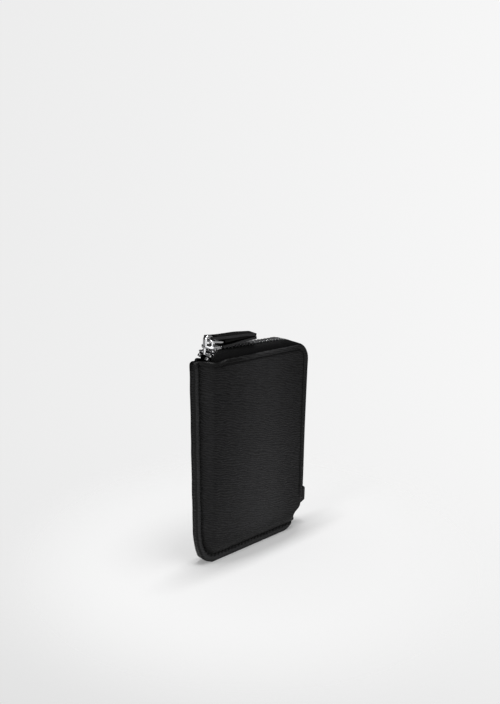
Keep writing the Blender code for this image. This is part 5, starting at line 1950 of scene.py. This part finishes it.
    def strap(
        self, name: str, start: float, level: Callable[[float], float], slot: bool, hang: float
    ) -> None:
        """A leather strap of the pull with rounded edges and a pressed line along them.

        Args:
            name: the node that it stands for.
            start: where it begins.
            level: height of its upper face at a place along it.
            slot: whether it is slotted round the bridge.
            hang: how far its long edges hang below its middle.
        """
        corner = TAB_END_ROUND
        bends = TAB_LENGTH - corner + corner * np.sin(np.linspace(0, math.pi / 2, 7))
        places = list(np.linspace(start, TAB_SLOT_LENGTH, 8)[:-1]) if slot else []
        places += list(np.linspace(TAB_SLOT_LENGTH if slot else start, bends[0], 60)[:-1]) + list(bends)
        inner = [TAB_HALF_WIDTH - TAB_CREASE_INSET + shift for shift in TAB_CREASE_LINES]
        half = [TAB_HALF_WIDTH, *inner, TAB_SLOT_HALF, TAB_SLOT_HALF / 2]
        widths = [-y for y in half] + [0.0] + half[::-1]
        work = bmesh.new()
        painted_light_layer = work.verts.layers.float.new("line")
        rows = []
        for x in places:
            wide = 1 - float(corner_inset(corner, x - TAB_LENGTH + corner)) / TAB_HALF_WIDTH
            skewed = float(ease_both((x - TAB_SEAM) / (TAB_LENGTH - TAB_SEAM)))
            row = []
            for y in widths:
                share = y / TAB_HALF_WIDTH
                inset = min(TAB_HALF_WIDTH - abs(y), TAB_LENGTH - x)
                crease = TAB_CREASE_DEPTH * float(hump(inset - TAB_CREASE_INSET, TAB_CREASE_REACH))
                soft = TAB_UNEVEN * math.sin(x * TAB_UNEVEN_ALONG + y * TAB_UNEVEN_ACROSS)
                soft -= hang * (1 - x / TAB_LENGTH) * share**2
                skew = TAB_END_SKEW * share * skewed
                point = work.verts.new((x + skew, y * wide, level(x) - crease + soft))
                # Painted highlight near the rounded edges, minus painted shade over the whole strap.
                wear = TAB_EDGE_HIGHLIGHT * float(hump(inset, TAB_EDGE_HIGHLIGHT_REACH)) * (x < TAB_LENGTH - TAB_EDGE_HIGHLIGHT_END)
                point[painted_light_layer] = wear - TAB_SHADE
                row.append(point)
            rows.append(row)
        for after, near, far in zip(places[1:], rows, rows[1:]):
            for index in range(len(widths) - 1):
                middle = (widths[index] + widths[index + 1]) / 2
                if not (slot and after <= TAB_SLOT_LENGTH + 1e-9 and abs(middle) < TAB_SLOT_HALF):
                    work.faces.new((near[index], far[index], far[index + 1], near[index + 1]))
        work.normal_update()
        if work.faces[:][0].normal.z < 0:
            bmesh.ops.reverse_faces(work, faces=work.faces)
        piece = add_piece(f"{name}_leather", made_mesh(work, name), self.finishes.edge)
        wall = piece.modifiers.new("wall", "SOLIDIFY")
        wall.thickness, wall.offset, wall.use_even_offset = TAB_LEATHER, -1.0, False
        edges = piece.modifiers.new("edges", "BEVEL")
        edges.width, edges.segments, edges.limit_method = TAB_EDGE_ROUND, 4, "ANGLE"
        edges.angle_limit = math.radians(50)
        applied(piece)
        piece.data.transform(self.pull_home)
        piece.data.set_sharp_from_angle(angle=math.radians(60))
        settle(piece, "pull", "leather", name)

    def add_straps(self) -> None:
        """Adds the two leather layers, a dark filler between them that stands for the shade in their gap, and
        the stitches that hold them together.
        """
        top = RING_WIRE + GAP + TAB_LEATHER
        bar = -RING_LENGTH * math.sin(RING_TILT) - RING_WIRE - GAP
        end = RING_WIRE - TAB_DROOP
        droop, rise = (smooth_path(shares, 90) for shares in (DROOP_SHARES, UNDER_RISE_SHARES))

        def upper(x: float) -> float:
            """Height of the upper layer's upper face."""
            return top - TAB_DROOP * float(np.interp(x / TAB_LENGTH, droop[:, 0], droop[:, 1]))

        def under(x: float) -> float:
            """Height of the lower layer's upper face."""
            share = (x - UNDER_START) / (TAB_LENGTH - UNDER_START)
            return bar + (end - bar) * float(np.interp(share, rise[:, 0], rise[:, 1]))

        self.strap("tab_upper", ARM_START, upper, True, 0.0)
        self.strap("tab_lower", UNDER_START, under, False, UNDER_HANG)
        # Dark filler between the layers: painted shade for the gap between them.
        rings = []
        for x in np.linspace(GAP_SHADE_START, TAB_LENGTH - GAP_SHADE_END_INSET, 40):
            high, low = upper(x) - TAB_LEATHER - GAP_SHADE_SINK, under(x) + GAP_SHADE_SINK
            section = superellipse(GAP_SHADE_HALF_WIDTH, (high - low) / 2, 24, GAP_SHADE_POWER)
            rings.append([self.pull_home @ Vector((x, y, (high + low) / 2 + z)) for y, z in section])
        gap_shade = add_piece("tab_fold", loft_mesh("tab_fold", rings), self.finishes.thread)
        settle(gap_shade, "pull", "leather")
        places = []
        across = Matrix.Rotation(math.radians(90), 4, "Z")
        for y in np.linspace(-TAB_SEAM_HALF, TAB_SEAM_HALF, TAB_STITCHES):
            place = Vector((TAB_SEAM, float(y), upper(TAB_SEAM) + THREAD_RADIUS * TAB_STITCH_LIFT))
            places.append(self.pull_home @ Matrix.Translation(place) @ across)
        stitches = self.scatter.run(
            "tab_stitches", places, stitch_mesh(), self.finishes.thread, STITCH_WOBBLE, TAB_STITCH_SEED
        )
        settle(stitches, "pull", "leather")


@dataclass(frozen=True)
class SoftBox:
    """An oval lamp aimed at the wallet.

    Attributes:
        name: the lamp's name.
        place: where it hangs.
        size: its width and height.
        power: its power, in watts.
    """

    name: str
    place: tuple[float, float, float]
    size: tuple[float, float]
    power: float

    def hang(self) -> None:
        """Adds the lamp to the scene."""
        light = bpy.data.lights.new(self.name, "AREA")
        light.shape = "ELLIPSE"
        light.size, light.size_y = self.size
        light.energy = self.power
        lamp = linked(self.name, light)
        lamp.location = self.place
        aim = LAMP_AIM - Vector(self.place)
        lamp.rotation_euler = aim.to_track_quat("-Z", "Y").to_euler()


SOFT_BOXES = (
    SoftBox("overhead", (0.0, 0.062, 1.10), (0.62, 0.11), 6.4),
    SoftBox("overhead_wide", (0.12, -0.26, 1.06), (0.50, 0.36), 3.0),
    SoftBox("left", (-0.75, -0.10, 0.42), (0.22, 0.22), 0.9),
)


class Studio:
    """Floor, light and camera."""

    def build(self) -> None:
        """Sets the studio up."""
        self._floor()
        self._backdrop()
        self._world()
        for box in SOFT_BOXES:
            box.hang()
        self._camera()
        bpy.context.scene.view_settings.view_transform = "Standard"

    @staticmethod
    def _stage_sheet(name: str, mesh: bpy.types.Mesh) -> tuple[Piece, Graph, bpy.types.Node]:
        """Stands a studio surface with an empty material of its own."""
        sheet = linked(name, mesh)
        material = bpy.data.materials.new(name)
        material.use_nodes = True
        mesh.materials.append(material)
        return sheet, Graph(material.node_tree), material.node_tree.nodes["Principled BSDF"]

    def _floor(self) -> None:
        """A pale floor that melts into the backdrop away from the wallet."""
        work = bmesh.new()
        bmesh.ops.create_circle(work, cap_ends=True, radius=FLOOR_RADIUS, segments=96)
        _, graph, shader = self._stage_sheet("floor", made_mesh(work, "floor"))
        coordinates = graph.add("ShaderNodeTexCoord").outputs["Object"]
        far = graph.add("ShaderNodeVectorMath", {0: coordinates}, operation="LENGTH").outputs["Value"]
        fade = graph.add(
            "ShaderNodeMapRange",
            {
                "Value": far, "From Min": FLOOR_FADE_START, "From Max": FLOOR_FADE_END,
                "To Min": 1.0, "To Max": 0.0,
            },
            interpolation_type="SMOOTHSTEP",
        )
        graph.feed(
            shader,
            {
                "Base Color": (0.68, 0.68, 0.68, 1.0), "Emission Color": WHITE, "Emission Strength": 0.20,
                "Roughness": 0.9, "Specular IOR Level": 0.0, "Alpha": fade.outputs["Result"],
            },
        )

    def _backdrop(self) -> None:
        """A card far behind the wallet that only the camera sees, a little darker to the lower left."""
        forward = CAMERA_FACING.normalized()
        right = forward.cross(Vector((0.0, 0.0, 1.0))).normalized()
        up = right.cross(forward)
        centre = CAMERA_PLACE + forward * BACKDROP_DISTANCE
        work = bmesh.new()
        bmesh.ops.create_grid(work, x_segments=1, y_segments=1, size=BACKDROP_HALF)
        card, graph, shader = self._stage_sheet("backdrop", made_mesh(work, "backdrop"))
        card.matrix_world = Matrix.Translation(centre) @ axes(right, up, -forward)
        for ray in ("diffuse", "glossy", "transmission", "shadow", "volume_scatter"):
            setattr(card, f"visible_{ray}", False)
        place = graph.add(
            "ShaderNodeSeparateXYZ", {"Vector": graph.add("ShaderNodeTexCoord").outputs["Object"]}
        )
        across = graph.math("MULTIPLY_ADD", place.outputs["X"], BACKDROP_RISE, BACKDROP_LEVEL)
        below = graph.math("MAXIMUM", graph.math("MULTIPLY", place.outputs["Y"], -1.0), 0.0)
        fall = graph.math("MULTIPLY", graph.math("POWER", below, 2.0), BACKDROP_FALL)
        graph.feed(
            shader,
            {
                "Base Color": (0.0, 0.0, 0.0, 1.0), "Specular IOR Level": 0.0, "Emission Color": WHITE,
                "Emission Strength": graph.math("ADD", across, fall),
            },
        )

    @staticmethod
    def _world() -> None:
        """Soft light from all round that gloss mirrors and the camera sees in strengths of their own."""
        world = bpy.data.worlds.new("studio")
        world.use_nodes = True
        bpy.context.scene.world = world
        graph = Graph(world.node_tree)
        path = graph.add("ShaderNodeLightPath").outputs
        way = graph.add("ShaderNodeTexCoord").outputs["Generated"]
        under = graph.math("LESS_THAN", graph.add("ShaderNodeSeparateXYZ", {0: way}).outputs["Z"], 0.0)

        glossy, seen = path["Is Glossy Ray"], path["Is Camera Ray"]

        def glow(towards: tuple[float, float, float], span: tuple[float, float]) -> bpy.types.NodeSocket:
            """A soft round glow in one direction, over a span of the cosine to it."""
            facing = graph.add(
                "ShaderNodeVectorMath", {0: way, 1: Vector(towards).normalized()}, operation="DOT_PRODUCT"
            ).outputs["Value"]
            return graph.add(
                "ShaderNodeMapRange", {"Value": facing, "From Min": span[0], "From Max": span[1]},
                interpolation_type="SMOOTHSTEP",
            ).outputs["Result"]

        box = graph.math("MULTIPLY", glow(LEFT_GLOW, LEFT_GLOW_SPAN), LEFT_GLOW_STRENGTH)
        base = graph.math("ADD", box, MIRRORED_ABOVE)
        shine = graph.math("MULTIPLY_ADD", glow(RIGHT_GLOW, RIGHT_GLOW_SPAN), RIGHT_GLOW_STRENGTH, base)
        more = graph.math("MULTIPLY", glossy, graph.math("SUBTRACT", shine, CAST_ABOVE))
        soft = graph.math("ADD", CAST_ABOVE, more)
        less = graph.math("ADD", box, MIRRORED_BELOW - CAST_BELOW)
        low = graph.math("MULTIPLY_ADD", glossy, less, CAST_BELOW)
        round_about = graph.math("MULTIPLY_ADD", under, graph.math("SUBTRACT", low, soft), soft)
        left = graph.math("SUBTRACT", CAMERA_SEES, round_about)
        strength = graph.math("MULTIPLY_ADD", seen, left, round_about)
        graph.feed(world.node_tree.nodes["Background"], {"Color": WHITE, "Strength": strength})

    @staticmethod
    def _camera() -> None:
        """Stands the camera where the photograph was taken from."""
        data = bpy.data.cameras.new("camera")
        data.sensor_width = SENSOR
        data.lens = SENSOR * FOCAL_PIXELS / FRAME_PIXELS
        camera = linked("camera", data)
        camera.location = CAMERA_PLACE
        camera.rotation_euler = CAMERA_FACING.to_track_quat("-Z", "Y").to_euler()
        bpy.context.scene.camera = camera


def dress_frame(frame: dict, finishes: Finishes) -> None:
    """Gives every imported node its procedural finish."""
    table = {
        "board": finishes.board, "core": finishes.board, "lining": finishes.lining, "pocket": finishes.lining,
        "tape": finishes.tape, "teeth": finishes.teeth, "stop": finishes.teeth, "slider": finishes.slider,
        "ring": finishes.slider,
    }
    for name, node in frame["nodes"].items():
        finish = next((made for word, made in table.items() if word in name), finishes.panel)
        node.data.materials.clear()
        node.data.materials.append(finish)


def main() -> None:
    """Builds the whole scene."""
    logging.basicConfig(level=logging.INFO)
    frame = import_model()
    layout = Layout.read()
    finishes = Finishes()
    scatter = Scatter()
    dress_frame(frame, finishes)
    chain = Chain(layout)
    panels = Panels(layout, finishes, scatter)
    zip_parts = Zip(chain, finishes, scatter)
    interior = Interior(layout, finishes)
    for side in Side:
        panels.add(side)
        zip_parts.add_teeth(side)
        zip_parts.add_cord(side)
        zip_parts.add_tape(side)
        interior.add_lining(side)
    interior.add_pocket("upper", 0, UPPER_POCKET_HEIGHT)
    interior.add_pocket("lower", 1, LOWER_POCKET_HEIGHT)
    ends = ZipEnds(chain, finishes)
    ends.add_stops()
    ends.add_ear()
    puller = Puller(chain, finishes, scatter)
    puller.add_slider()
    puller.add_ring()
    puller.add_straps()
    Studio().build()


if __name__ == "__main__":
    main()
